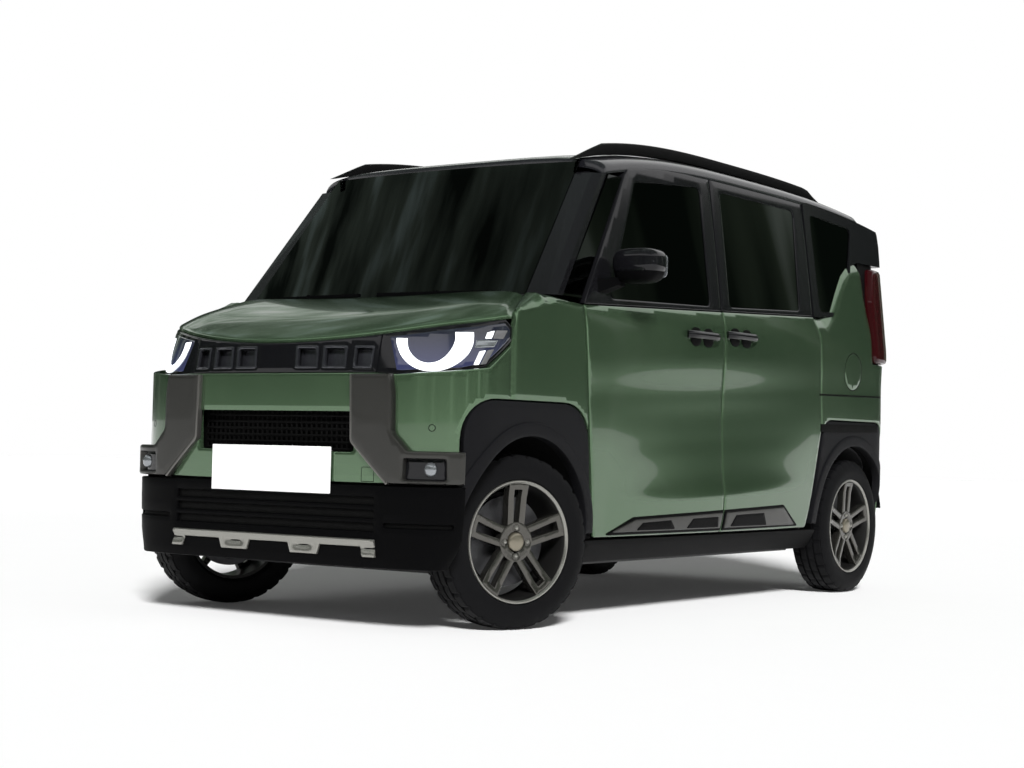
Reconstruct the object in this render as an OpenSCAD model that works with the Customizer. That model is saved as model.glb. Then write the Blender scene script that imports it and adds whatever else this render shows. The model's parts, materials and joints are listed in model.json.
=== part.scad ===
// Tall kei wagon with two hinged front doors, two sliding doors, bonnet and tailgate.
// Millimetres. Z is up, the nose points to -Y and the car's left side is at +X.
// The origin is on the ground in the middle of the car.

/* [Overall] */
// Length over the bumpers
car_length = 3395; // [3380:1:3410]
// Width over the body sides, without the mirrors
car_width = 1475; // [1465:1:1485]
// Height of the roof's crown above the ground
roof_height = 1748; // [1738:1:1760]
// Distance from the front bumper to the front axle
front_overhang = 475; // [470:1:480]
// Distance from the rear axle to the rear bumper
rear_overhang = 430; // [425:1:440]
// Height of the sill's lower edge
sill_z = 200; // [190:1:206]

/* [Panels] */
// Thickness of the doors, quarters and tailgate
wall = 58; // [54:1:62]
// Thickness of a door's edge in front of its hinge
flange = 8; // [6:0.5:9]
// Thickness of the fenders and claddings
skin_t = 36; // [30:1:44]
// Shut gap round the doors and lids
door_gap = 8; // [7:0.5:10]
// Gap between pieces that are fixed together
seam = 0.4; // [0.3:0.1:0.6]
// Thickness of the glass
glass_t = 6; // [4:0.5:8]
// How deep the glass sits in its opening
glass_inset = 6; // [3:0.5:10]
// Height of the waistline at the front of the doors
belt_z = 1100; // [1090:1:1110]
// Height of the doors' lower edge
door_bottom_z = 292; // [286:1:300]

/* [Wheels] */
// Outer diameter of the tyres
tyre_d = 579; // [570:1:588]
// Width of the tyres
tyre_w = 165; // [155:1:170]
// Diameter of the rim's lip
rim_d = 412; // [396:1:424]
// Distance between the front wheels' centre planes
front_track = 1300; // [1292:1:1304]
// Distance between the rear wheels' centre planes
rear_track = 1290; // [1284:1:1304]
// Radius of the wheel arches
arch_r = 350; // [346:1:356]
// Distance from the kingpin to the wheel's centre plane
kingpin_offset = 45; // [40:1:50]
// Angle to the car's right at which the front wheels stand parked
parked_steer = 18.5; // [0:0.5:20]
// Radius of the wheel spindles
spindle_r = 16; // [12:0.5:18]
// Radius of the kingpins
kingpin_r = 9; // [7:0.5:11]
// Running clearance round a pin or spindle
run_clear = 0.05; // [0.03:0.01:0.08]

/* [Hinges] */
// Radius of the hinge pins
pin_r = 4.5; // [3.5:0.25:5.5]
// Depth of the hinge pins below the panel's skin
pin_depth = 19; // [17:0.5:22]
// Width of a hinge bracket along its pin
hinge_w = 34; // [28:1:44]
// Thickness of a panel's ear beside the bracket
ear_w = 12; // [10:1:16]

/* [Cabin] */
// Width of a front seat's cushion
seat_w = 470; // [440:5:490]
// Height of the front seats' cushions
seat_z = 640; // [620:5:660]
// Distance of a front seat from the car's middle
seat_x = 300; // [285:5:315]
// Diameter of the steering wheel's rim
wheel_rim_d = 365; // [350:5:380]

/* [Hidden] */
$fn = 64;

paint = "#6f8f68";
black = "#191a1b";
grey = "#4b4a47";
silver = "#b9bcbe";
tint = "#1d2321";

half_w = car_width / 2;
front_y = -car_length / 2;
rear_y = car_length / 2;
front_axle_y = front_y + front_overhang;
rear_axle_y = rear_y - rear_overhang;
wheelbase = rear_axle_y - front_axle_y;
axle_z = tyre_d / 2;

// Body surface: rounded plan corners, side section and leaning tail
front_depth = 330;
front_p = 3.6;
guard_p = 5;
rear_depth = 250;
rear_p = 3.6;
corner_steps = 12;
round_steps = 24;
roof_rise = 108;
roof_p = 4;
roof_tuck = 76;
shoulder_z = roof_height - roof_rise;
roof_half_w = half_w - roof_tuck;
wall_top_z = shoulder_z + 70;
// Columns: height, tuck of the side from the full width
SIDE = [[sill_z - 10, 72], [door_bottom_z + 8, 15], [450, 3], [700, 0], [1050, 2.5], [belt_z + 30, 10],
    [shoulder_z, roof_tuck]];
// Columns: height, distance of the tail from the rearmost plane
TAIL = [[sill_z - 10, 60], [300, 30], [420, 0], [700, 0], [900, 8], [1180, 38], [wall_top_z, 90]];

function corner(w, d, p) = [for (k = [1:corner_steps])
    let (t = 90 * k / corner_steps) [w * pow(sin(t), 2 / p), d * (1 - pow(cos(t), 2 / p))]];
function reversed(list) = [for (k = [len(list) - 1:-1:0]) list[k]];
function mirrored(list) = concat(list, [for (q = reversed(list)) if (q[0] > 0) [-q[0], q[1]]]);
function half_plan(inset, setback, p) = concat([[0, front_y + setback + inset]],
    [for (q = corner(half_w - inset, front_depth, p)) [q[0], front_y + setback + inset + q[1]]],
    [for (q = reversed(corner(half_w - inset, rear_depth, rear_p))) [q[0], rear_y - inset - q[1]]],
    [[0, rear_y - inset]]);
function arch_z(t) = shoulder_z + roof_rise * pow(sin(t), 2 / roof_p);
function half_section(inset, drop) = concat([[0, SIDE[0][0] - drop]],
    [[half_w - SIDE[0][1] - inset, SIDE[0][0] - drop]],
    [for (k = [1:len(SIDE) - 1]) [half_w - SIDE[k][1] - inset, SIDE[k][0]]],
    [for (t = [10:10:90]) [(roof_half_w - inset) * pow(cos(t), 2 / roof_p), arch_z(t)]]);
function tail_profile(inset, drop) = concat([[front_y - 10, TAIL[0][0] - drop]],
    [[rear_y - TAIL[0][1] - inset, TAIL[0][0] - drop]],
    [for (k = [1:len(TAIL) - 1]) [rear_y - TAIL[k][1] - inset, TAIL[k][0]]],
    [[front_y - 10, wall_top_z]]);
function side_x(z) = half_w - lookup(z, SIDE);
function plan_y(x, setback, inset, p) = front_y + setback + inset
    + front_depth * (1 - pow(1 - pow(abs(x) / (half_w - inset), p), 1 / p));

// Outlines drawn in side view [y, z], front view [x, z] and plan [x, y], extruded through the car
module outline(points, round) {
    if (round > 0) offset(r = round, $fn = round_steps) offset(delta = -round) polygon(points);
    else polygon(points);
}
module across_x(points, x0, x1, round = 0)
    translate([x0, 0, 0]) rotate([90, 0, 90]) linear_extrude(x1 - x0) outline(points, round);
module along_y(points, y0, y1, round = 0)
    translate([0, y1, 0]) rotate([90, 0, 0]) linear_extrude(y1 - y0) outline(points, round);
module up_z(points, z0, z1)
    translate([0, 0, z0]) linear_extrude(z1 - z0) polygon(points);
module both_sides() {
    children();
    mirror([1, 0, 0]) children();
}
module box(low, high) translate(low) cube(high - low);

// Solid block bounded by the body's surface, moved in by inset and back by setback at the nose.
// A higher p squares the nose's corners
module body_block(inset, setback = 0, drop = 0, p = front_p) intersection() {
    up_z(mirrored(half_plan(inset, setback, p)), SIDE[0][0] - drop, wall_top_z);
    along_y(mirrored(half_section(inset, drop)), front_y - 1, rear_y + 1);
    across_x(tail_profile(inset, drop), -half_w - 1, half_w + 1);
}
// Shell of the body's surface between two depths
module body_skin(depth0, depth1, setback = 0, p = front_p) difference() {
    body_block(depth0, setback, 0, p);
    body_block(depth1, setback, 20, p);
}
// Part of the left side of the shell inside an outline drawn in side view
module side_panel(points, depth0, depth1, round = 0) intersection() {
    body_skin(depth0, depth1);
    across_x(points, half_w / 2, half_w + 1, round);
}
// Closed sheet between an upper and a lower grid of points
module sheet(top, low) {
    nu = len(top);
    nv = len(top[0]);
    n = nu * nv;
    points = concat([for (row = top) for (q = row) q], [for (row = low) for (q = row) q]);
    upper = [for (u = [0:nu - 2]) for (v = [0:nv - 2]) let (a = u * nv + v)
        each [[a, a + 1, a + nv + 1], [a, a + nv + 1, a + nv]]];
    lower = [for (f = upper) [n + f[2], n + f[1], n + f[0]]];
    ends_u = [for (v = [0:nv - 2]) let (b = (nu - 1) * nv)
        each [[v, n + v, n + v + 1, v + 1], [b + v, b + v + 1, n + b + v + 1, n + b + v]]];
    ends_v = [for (u = [0:nu - 2]) let (a = u * nv, b = a + nv - 1)
        each [[a, a + nv, n + a + nv, n + a], [b, n + b, n + b + nv, b + nv]]];
    rim = [for (q = concat(ends_u, ends_v)) each [[q[0], q[1], q[2]], [q[0], q[2], q[3]]]];
    polyhedron(points, concat(upper, lower, rim));
}

// Roof and windscreen
roof_peak_y = front_axle_y + 1572;
roof_drop_front = 80;
roof_drop_rear = 58;
roof_fall_p = 2.9;
screen_top_y = front_axle_y + 452;
screen_base_y = front_axle_y + 37;
screen_base_z = belt_z + 22;
screen_top_z = shoulder_z - 4;
screen_bow = 60;
screen_half_top = roof_half_w - 95;
screen_half_base = half_w - 113;
screen_lean = (screen_top_y - screen_base_y) / (screen_top_z - screen_base_z);
roof_edge_t = 6;
roof_t = 40;
roof_edge_x = 0.99 * roof_half_w;
roof_rear_y = rear_y - 280;
roof_horn_y = rear_y - 88;
function roof_fall(y) = y < roof_peak_y
    ? roof_drop_front * pow((roof_peak_y - y) / (roof_peak_y - screen_top_y - 70), roof_fall_p)
    : roof_drop_rear * pow((y - roof_peak_y) / (roof_horn_y - roof_peak_y), roof_fall_p);
function roof_z(x, y) = shoulder_z - roof_fall(y)
    + roof_rise * pow(1 - pow(min(abs(x) / roof_half_w, 1), roof_p), 1 / roof_p);
function roof_under(y) = roof_z(roof_edge_x, y) - roof_edge_t;
function screen_y(x, z) = screen_base_y + (z - screen_base_z) * screen_lean
    + screen_bow * pow(x / screen_half_base, 2);
function door_top_z(y) = roof_under(y) - door_gap;
function roof_point(q) = [q[0], q[1], roof_z(q[0], q[1])];
function lining_point(q) = [q[0], q[1], max(roof_under(q[1]), roof_z(q[0], q[1]) - roof_t)];

// Door outlines and windows in side view
c_line_y = rear_axle_y - 397;
door_lead = 303;
b_line_y = (front_axle_y + door_lead + c_line_y) / 2 + 94;
// Columns: height, distance of the front door's leading edge behind the front axle
DOOR_EDGE = [[door_bottom_z, 410], [360, 380], [776, 340], [belt_z, door_lead],
    [shoulder_z - 30, 660]];
// Columns: height, distance of the sliding door's trailing edge behind the C line
REAR_EDGE = [[door_bottom_z, -48], [696, 62], [1102, 34], [1177, 0], [shoulder_z, -3]];
function door_edge_y(z) = front_axle_y + lookup(z, DOOR_EDGE);
function rear_edge_y(z) = c_line_y + lookup(z, REAR_EDGE);
function waist_z(y) = belt_z + 0.045 * (y - door_edge_y(belt_z));
function edge_line(table, base) = [for (row = table) [base + row[1], row[0]]];
function roof_line(y0, y1, n, lower) = [for (k = [0:n])
    let (y = y0 + (y1 - y0) * k / n) [y, roof_under(y) - lower]];
door_outline = concat(edge_line(DOOR_EDGE, front_axle_y),
    roof_line(door_edge_y(shoulder_z) + 20, b_line_y - door_gap / 2, 6, door_gap),
    [[b_line_y - door_gap / 2, door_bottom_z]]);
sliding_outline = concat([[b_line_y + door_gap / 2, door_bottom_z]],
    roof_line(b_line_y + door_gap / 2, rear_edge_y(shoulder_z), 6, door_gap),
    reversed(edge_line(REAR_EDGE, c_line_y)));
post_w = 86;
header_h = 48;
window_sill = 23;
window_round = 26;
function waist_point(y, rise) = [y, waist_z(y) + rise];
function header_point(y) = [y, door_top_z(y) - header_h];
door_window = [waist_point(door_edge_y(belt_z) + 175, window_sill), waist_point(b_line_y - post_w,
    window_sill),
    header_point(b_line_y - post_w), header_point(door_edge_y(shoulder_z - 40) + 70)];
sliding_window = [waist_point(b_line_y + post_w - 16, window_sill), waist_point(c_line_y - 120,
    window_sill),
    header_point(c_line_y - 90), header_point(b_line_y + post_w - 8)];
quarter_window = [waist_point(c_line_y + 70, window_sill), waist_point(c_line_y + 330, window_sill + 6),
    [c_line_y + 470, shoulder_z - 30], [c_line_y + 60, shoulder_z - 10]];
function middle(points, k) = (points[0][k] + points[1][k] + points[2][k] + points[3][k]) / 4;
function shrunk(points, d) = [for (q = points)
    [q[0] - sign(q[0] - middle(points, 0)) * d, q[1] - sign(q[1] - middle(points, 1)) * d]];

// Bonnet surface
hood_setback = 30;
hood_p = 1.9;
hood_slope = 0.36;
hood_rear_z = screen_base_z + 16;
nose_drop = 18;
nose_share = 0.35;
hood_side_drop = 55;
hood_side_p = 8;
hood_t = 34;
hood_edge_t = 10;
hood_turn = 86;
hood_rear_half = half_w - 90;
bonnet_rear_y = screen_base_y - 50;
HOOD_T = [-86, -82, -74, -64, -52, -38, -22, -8, 8, 22, 38, 52, 64, 74, 82, 86];
HOOD_V = [0, 0.04, 0.12, 0.26, 0.45, 0.65, 0.84, 0.95, 1];
function hood_z(x, y) = hood_rear_z - hood_slope * (screen_base_y - y)
    - hood_side_drop * pow(abs(x) / half_w, hood_side_p);
function nose_roll(v) = nose_drop * pow(max(0, 1 - v / nose_share), 2);
function hood_front(t) = [half_w * sign(t) * pow(sin(abs(t)), 2 / hood_p),
    front_y + hood_setback + front_depth * (1 - pow(cos(t), 2 / hood_p))];
function screen_curve(x) = screen_bow * pow(x / screen_half_base, 2);
function hood_back(t) = let (x = hood_rear_half * t / hood_turn) [x, bonnet_rear_y + screen_curve(x)];
function hood_at(t, v) = let (q = hood_front(t) * (1 - v) + hood_back(t) * v)
    [q[0], q[1], hood_z(q[0], q[1]) - nose_roll(v)];
function hood_depth(t, v) = hood_edge_t
    + (hood_t - hood_edge_t) * min(1, v * 8, (1 - v) * 8, (hood_turn - abs(t)) / 12);

// Hinge axes
knuckle_r = 7;
ear_r = 9;
door_pin_x = half_w - pin_depth - 1;
door_pin_y = door_edge_y(360) + 48;
DOOR_HINGE_Z = [470, 930];
lid_lead = 60;
tailgate_hinge_x = 420;
tailgate_pin_y = roof_rear_y + door_gap + lid_lead;
tailgate_pin_z = roof_z(tailgate_hinge_x, tailgate_pin_y) - pin_depth;
bonnet_hinge_x = 500;
bonnet_pin_y = bonnet_rear_y - lid_lead;
bonnet_pin_z = hood_z(bonnet_hinge_x, bonnet_pin_y) - pin_depth;

// Floor and body frame
post_x = half_w - wall - 24;
bulkhead_y = door_pin_y - 40;
bulkhead_x = post_x - 55;
floor_z = sill_z + 34;
floor_t = 28;
load_z = 500;
wheelhouse_r = arch_r - 6;
house_t = 12;
rear_house_x = rear_track / 2 - tyre_w / 2 - 26;
front_house_x = 392;
leg_x = 310;
leg_w = 70;
leg_z = 340;
leg_h = 100;
rear_leg_z = 380;
apron_z = 840;
apron_t = 40;
cowl_z = screen_base_z - 24;
cowl_t = 28;
bumper_t = 52;
guard_depth = 14;
lower_depth = 12;
beam_half = 460;
gate_frame = 86.5;
gate_half = roof_half_w - gate_frame;
gate_edge = gate_half + door_gap;
blade_z = (belt_z + 2 * shoulder_z) / 3;
blade_step = 22;
header_z = tailgate_pin_z - 112;
header_t = 34;

module wheelhouse(y, x0, r) translate([x0, y, axle_z]) rotate([0, 90, 0]) cylinder(r = r, h = half_w);
module cowl() {
    edge = [for (x = [-660:60:660]) [x, bonnet_rear_y + screen_curve(x) + door_gap + 14]];
    up_z(concat(edge, [[bulkhead_x, bulkhead_y - 180], [bulkhead_x, bulkhead_y + 30],
        [-bulkhead_x, bulkhead_y + 30], [-bulkhead_x, bulkhead_y - 180]]), cowl_z - cowl_t, cowl_z);
    band = [for (x = [-620:62:620]) [x, screen_base_y + screen_curve(x)]];
    up_z(concat(band, reversed([for (q = band) q + [0, 45]])), cowl_z - 10, screen_base_z - seam);
}
module posts() both_sides() {
    box([post_x - 75, door_pin_y - 20, floor_z], [post_x, door_pin_y + 60, cowl_z]);
    intersection() {
        body_skin(wall + door_gap, wall + door_gap + 50);
        union() {
            box([0, b_line_y - 50, floor_z], [half_w, b_line_y + 60, shoulder_z - 6]);
            box([0, c_line_y - 50, floor_z], [half_w, c_line_y + 80, shoulder_z - 6]);
        }
    }
    intersection() {
        body_skin(wall + seam, wall + door_gap + 50);
        box([0, c_line_y + 30, load_z], [half_w, c_line_y + 80, belt_z]);
    }
}
module sills() both_sides() intersection() {
    body_block(skin_t + seam, 0, 20);
    union() {
        box([post_x - 70, bulkhead_y, sill_z - 6], [half_w, b_line_y, door_bottom_z - door_gap]);
        box([post_x - 70, b_line_y, sill_z - 6], [half_w, c_line_y - 60, door_bottom_z - seam]);
    }
}
module floor_pan() color(black) difference() {
    union() {
        box([-post_x, bulkhead_y, floor_z], [post_x, c_line_y, floor_z + floor_t]);
        box([-post_x, c_line_y - 30, floor_z], [post_x, c_line_y, load_z]);
        intersection() {
            body_block(wall + seam, 0, 20);
            box([-post_x, c_line_y - 30, load_z - floor_t], [post_x, rear_y - 150, load_z]);
        }
        box([-gate_half, rear_y - 180, sill_z + 90], [gate_half, rear_y - 150, 620]);
        box([-bulkhead_x, bulkhead_y, floor_z], [bulkhead_x, bulkhead_y + 30, cowl_z]);
        cowl();
        sills();
        posts();
        both_sides() {
            box([leg_x, plan_y(leg_x + leg_w, lower_depth, bumper_t, guard_p) + seam, leg_z],
                [leg_x + leg_w, bulkhead_y + 10, leg_z + leg_h]);
            box([leg_x, c_line_y - 30, rear_leg_z], [leg_x + leg_w, rear_y - 160, load_z - 10]);
            box([440, front_axle_y - 100, apron_z], [570, bulkhead_y + 10, apron_z + apron_t]);
            intersection() {
                wheelhouse(rear_axle_y, rear_house_x - house_t, wheelhouse_r + house_t);
                box([rear_house_x - house_t, c_line_y, axle_z], [half_w, rear_y, 700]);
                body_block(wall + seam, 0, 20);
            }
        }
        box([-beam_half, front_y + 110, leg_z], [beam_half, front_y + 142, leg_z + leg_h]);
    }
    both_sides() {
        wheelhouse(front_axle_y, front_house_x, wheelhouse_r);
        wheelhouse(rear_axle_y, rear_house_x, wheelhouse_r);
        box([rear_house_x - 20, rear_axle_y - 70, 0], [rear_house_x + 1, rear_axle_y + 70, axle_z + 110]);
    }
}

// Slanted front pillars, cant rails under the roof, rear header and rear pillars
pillar_top_z = shoulder_z - 52;
function screen_side(z) = screen_half_base
    + (screen_half_top - screen_half_base) * (z - screen_base_z) / (screen_top_z - screen_base_z);
function pillar_at(z) = [screen_side(z) + seam, screen_y(screen_side(z), z) + 4];
pillar_base = pillar_at(screen_base_z);
pillar_top = pillar_at(pillar_top_z);
rail_depth = wall + door_gap + 4;
module pillar_slice(at, z, side) up_z([at, [side - 26, at[1] + 14], [side - 2, at[1] + 44],
    [side - 4, at[1] + 78], [side - 60, at[1] + 92], [at[0], at[1] + 40]], z - 1, z);
module cant_rail(y0, y1) intersection() {
    body_skin(rail_depth, rail_depth + 50);
    across_x(concat(roof_line(y0, y1, 24, seam + 0.4), reversed(roof_line(y0, y1, 24, 34))), 0, half_w);
}
// Edge of the painted blade that rises behind the quarter glass
blade_line = [waist_point(c_line_y + 358, 10), [c_line_y + 427, blade_z - blade_step], [c_line_y + 504,
    blade_z],
    [rear_y + 1, blade_z]];
upper_quarter = concat([waist_point(c_line_y + door_gap, seam), [c_line_y + door_gap - 3,
    door_top_z(c_line_y)]],
    roof_line(c_line_y + 40, roof_horn_y, 12, seam + 0.4),
    reversed([for (q = blade_line) q + [0, seam]]));
module rear_pillar() difference() {
    side_panel(upper_quarter, 0, wall);
    gate_opening();
    across_x(quarter_window, half_w / 2, half_w + 1, window_round);
}
module gate_opening() box([-gate_edge, roof_rear_y - 40, sill_z], [gate_edge, rear_y + 10, roof_height]);
module pillars() color(black) {
    both_sides() {
        hull() {
            pillar_slice(pillar_base, screen_base_z, side_x(screen_base_z));
            pillar_slice(pillar_top, pillar_top_z, side_x(pillar_top_z) - 8);
        }
        cant_rail(pillar_top[1] + 30, roof_rear_y - 10);
        box([gate_edge - 33, roof_rear_y - 50, header_z], [gate_edge + 40, roof_rear_y - 10,
            shoulder_z - 10]);
        rear_pillar();
    }
    box([-gate_edge - 40, roof_rear_y - 50, header_z], [gate_edge + 40, tailgate_pin_y + 10, header_z +
        header_t]);
}

roof_steps = 24;
ROOF_U = [-0.99, -0.97, -0.92, -0.84, -0.7, -0.45, -0.15, 0.15, 0.45, 0.7, 0.84, 0.92, 0.97, 0.99];
function roof_at(u, k) = let (x = u * roof_half_w, y0 = screen_y(x, screen_top_z) + 10)
    [x, y0 + (roof_horn_y - y0) * k / roof_steps];
module roof_panel() color(black) difference() {
    sheet([for (u = ROOF_U) [for (k = [0:roof_steps]) roof_point(roof_at(u, k))]],
        [for (u = ROOF_U) [for (k = [0:roof_steps]) lining_point(roof_at(u, k))]]);
    box([-gate_edge, roof_rear_y, shoulder_z - 100], [gate_edge, rear_y, roof_height + 1]);
}

// Wheel arches. Columns: distance from the axle, height
door_clear = door_gap + front_axle_y;
clad_low_z = 300;
clad_round = 96;
clad_depth = 5;
lip_w = 46;
FRONT_CLAD = [[-338, 0], [-338, 680], [-258, 752], [204, 752], [door_edge_y(640) - door_clear, 660],
    [door_edge_y(360) - door_clear, 360], [door_edge_y(360) - door_clear, 0]];
REAR_CLAD = [[-498, 0], [-318, 690], [-272, 744], [196, 744], [300, 680], [330, 420], [330, 0]];
module cladding_block(y, table, grow) intersection() {
    translate([half_w / 2, y, 0]) rotate([90, 0, 90]) linear_extrude(half_w / 2 + 20)
        offset(delta = grow) outline(table, clad_round);
    box([0, y - wheelbase / 2, clad_low_z - grow], [half_w + 20, y + wheelbase / 2, belt_z]);
}
module arch_cut(y, r = arch_r)
    translate([half_w / 2, y, axle_z]) rotate([0, 90, 0]) cylinder(r = r, h = half_w, $fn = 96);
// A cladding lies a little below the painted skin, and its raised lip runs round the arch
module cladding(y, table) difference() {
    intersection() {
        body_skin(0, skin_t);
        cladding_block(y, table, 0);
    }
    difference() {
        cladding_block(y, table, 1);
        body_block(clad_depth);
        arch_cut(y, arch_r + lip_w);
    }
    arch_cut(y);
}
module arch_cladding() color(black) both_sides() {
    cladding(front_axle_y, FRONT_CLAD);
    difference() {
        cladding(rear_axle_y, REAR_CLAD);
        sliding_space();
    }
}
// Room that the sliding door takes, with its shut gap
module sliding_space()
    across_x([for (q = sliding_outline) [q[0] + door_gap, q[1]]], half_w / 2, half_w + 20);

// Front fenders between the bumper line, the bonnet and the door
fender_front_y = front_axle_y - 128;
fender_rear_y = door_edge_y(belt_z) - door_gap;
fender_t = 16;
fender_rows = 10;
fender_lead = 36;
shoulder_r = 46;
shoulder_flat = 0.2;
shoulder_steps = 5;
shoulder_thin = 0.6;
// Columns: distance along the car, inner edge of the fender beside the bonnet and the screen's foot
FENDER_EDGE = [[hood_front(hood_turn)[1], hood_front(hood_turn)[0]],
    [hood_back(hood_turn)[1], hood_rear_half],
    [screen_base_y + 85, half_w - 48],
    [fender_rear_y, half_w - 22]];
function fender_inset(y) = half_w - lookup(y, FENDER_EDGE) - door_gap;
function fender_round(y) = min(shoulder_r, (1 - shoulder_flat) * (fender_inset(y) - door_gap));
function edge_share(y) = (y - FENDER_EDGE[0][0]) / (FENDER_EDGE[1][0] - FENDER_EDGE[0][0]);
function hood_edge_z(y) = hood_z(lookup(y, FENDER_EDGE), y) - nose_roll(edge_share(y));
fender_peak_z = hood_edge_z(FENDER_EDGE[1][0]);
function fender_top(y) = y < FENDER_EDGE[1][0] ? hood_edge_z(y)
    : lookup(y, [[FENDER_EDGE[1][0], fender_peak_z], [fender_rear_y, belt_z - 2]]);
// Point of the shoulder, which turns in by a quarter round and then runs flat to its edge
function shoulder_point(y, k, depth) = let (r = fender_round(y), z = fender_top(y) - r)
    k > shoulder_steps ? [half_w - fender_inset(y), y, fender_top(y) - depth]
    : let (a = 90 * k / shoulder_steps) [side_x(z) - r + (r - depth) * cos(a), y, z + (r - depth) * sin(a)];
// Columns: height, how far the front edge leans back
FENDER_FRONT = [[belt_z - 170, 0], [belt_z - 64, fender_lead]];
// Heights of the side below the shoulder
FENDER_Z = [belt_z - 100, belt_z - 170, 776, 700, 640];
function fender_y(z, share) = let (y0 = fender_front_y + lookup(z, FENDER_FRONT))
    y0 + (door_edge_y(z) - door_gap - y0) * share;
// One section of the fender from the bonnet's edge over the shoulder and down the side
function fender_row(share, t) = let (y = fender_y(belt_z, share))
    let (depth = min(t, fender_round(y) * shoulder_thin))
    concat([for (k = [shoulder_steps + 1:-1:0]) shoulder_point(y, k, depth)],
        [for (z = FENDER_Z) [side_x(z) - t, fender_y(z, share), z]]);
module front_fenders() color(paint) both_sides() difference() {
    sheet([for (k = [fender_rows:-1:0]) fender_row(k / fender_rows, 0)],
        [for (k = [fender_rows:-1:0]) fender_row(k / fender_rows, fender_t)]);
    cladding_block(front_axle_y, FRONT_CLAD, seam);
}

// Quarter panels with the raised blade behind the side glass
quarter_low_z = 750;
quarter_outline = concat([for (row = REAR_EDGE) if (row[0] < 1180) [c_line_y + row[1] + door_gap, row[0]]],
    [waist_point(c_line_y + door_gap, 0)], blade_line,
    [[rear_y + 1, quarter_low_z], [rear_axle_y, quarter_low_z], [rear_axle_y, 300]]);
tail_lamp_x = gate_half + 65;
tail_lamp_d = 232;
tail_lamp_low_z = 1010;
tail_lamp_top_z = blade_z - 80;
module tail_lamp_space(grow) box([tail_lamp_x - grow, rear_y - tail_lamp_d - grow, tail_lamp_low_z - grow],
    [half_w + 40, rear_y + 40, tail_lamp_top_z + grow]);
module quarter_panels() color(paint) both_sides() difference() {
    side_panel(quarter_outline, 0, wall);
    gate_opening();
    cladding_block(rear_axle_y, REAR_CLAD, seam);
    arch_cut(rear_axle_y);
    tail_lamp_space(seam);
}
module tail_lamps() color("#7a1016") both_sides() intersection() {
    body_block(0);
    difference() {
        tail_lamp_space(0);
        body_block(wall, 0, 20);
    }
}

// Nose: painted bumper, black lower bumper with mesh, guards, grille and lamps
bumper_top_z = 832;
lip_z = 470;
intake_top_z = 705;
intake_low_z = 575;
intake_half = 350;
grille_half_w = 445;
lamp_in_x = grille_half_w + seam;
// Columns: distance from the middle, rise of the lamp's lower edge above the bumper's top
LAMP_LOW = [[505, -4], [668, 8], [733, 24]];
function lamp_top(t) = let (q = hood_front(t)) [q[0], hood_z(q[0],
    q[1]) - nose_drop - hood_edge_t - door_gap];
lamp_low_line = [for (row = LAMP_LOW) [row[0], bumper_top_z + row[1]]];
module nose_part(points, depth1, setback, p) intersection() {
    body_skin(0, depth1, setback, p);
    along_y(points, front_y - 1, fender_front_y - seam);
}
// Upright block behind the grille and lamps: it leans back and rounds off from the bumper to the bonnet.
// Columns: height, setback, exponent of the plan curve
NOSE = [[bumper_top_z - 20, 18, 2.7], [screen_base_z - 80, 30, 1.85]];
module nose_block(inset) hull() for (row = NOSE)
    up_z(mirrored(half_plan(inset, row[1], row[2])), row[0] - 0.5, row[0] + 0.5);
module nose_skin(depth) difference() {
    nose_block(0);
    nose_block(depth);
}
module front_bumper() color(paint) difference() {
    both_sides() nose_part(concat([[0, lip_z], [0, bumper_top_z - seam], [lamp_in_x, bumper_top_z - seam]],
        [for (q = lamp_low_line) q - [0, seam]], [[half_w + 1, 1012], [half_w + 1, lip_z]]),
        bumper_t, guard_depth, front_p);
    along_y([[-intake_half + 5, intake_low_z], [intake_half - 5, intake_low_z], [intake_half, intake_top_z],
        [-intake_half, intake_top_z]], front_y - 1, 0);
    both_sides() {
        cladding_block(front_axle_y, FRONT_CLAD, seam);
        lamp_block(seam);
    }
}
module lower_bumper() color(black) {
    difference() {
        nose_part([[-half_w, sill_z], [half_w, sill_z], [half_w, lip_z - seam], [-half_w, lip_z - seam]],
            bumper_t, lower_depth, guard_p);
        lower_recess();
        both_sides() {
            cladding_block(front_axle_y, FRONT_CLAD, seam);
            arch_cut(front_axle_y);
        }
    }
    intake_mesh();
}
// Recess with slats between the plate and the skid garnish, and a groove on each corner
slat_pitch = 42;
slat_h = 16;
recess_depth = 14;
module lower_recess() difference() {
    union() {
        for (k = [0:2]) translate([0, 0, 322 + slat_pitch * k])
            along_y([[-440, 0], [440, 0], [440, slat_pitch - slat_h], [-440, slat_pitch - slat_h]],
                front_y - 1, front_y + 300);
        both_sides() along_y([[478, 336], [half_w, 336], [half_w, 350], [478, 350]], front_y - 1,
            fender_front_y);
    }
    body_block(recess_depth, lower_depth, 20, guard_p);
}
mesh_pitch_z = 38;
mesh_pitch_x = 86;
mesh_bar = 14;
module intake_mesh() intersection() {
    body_skin(bumper_t + seam, bumper_t + 14, guard_depth);
    union() {
        for (k = [0:4]) translate([0, 0, intake_low_z - 20 + mesh_pitch_z * k])
            box([-intake_half - 40, front_y, 0], [intake_half + 40, front_y + 300, mesh_bar]);
        for (k = [-4:4]) translate([mesh_pitch_x * k - mesh_bar / 2, 0, intake_low_z - 20])
            box([0, front_y, 0], [mesh_bar, front_y + 300, mesh_pitch_z * 4 + mesh_bar]);
    }
}
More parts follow.
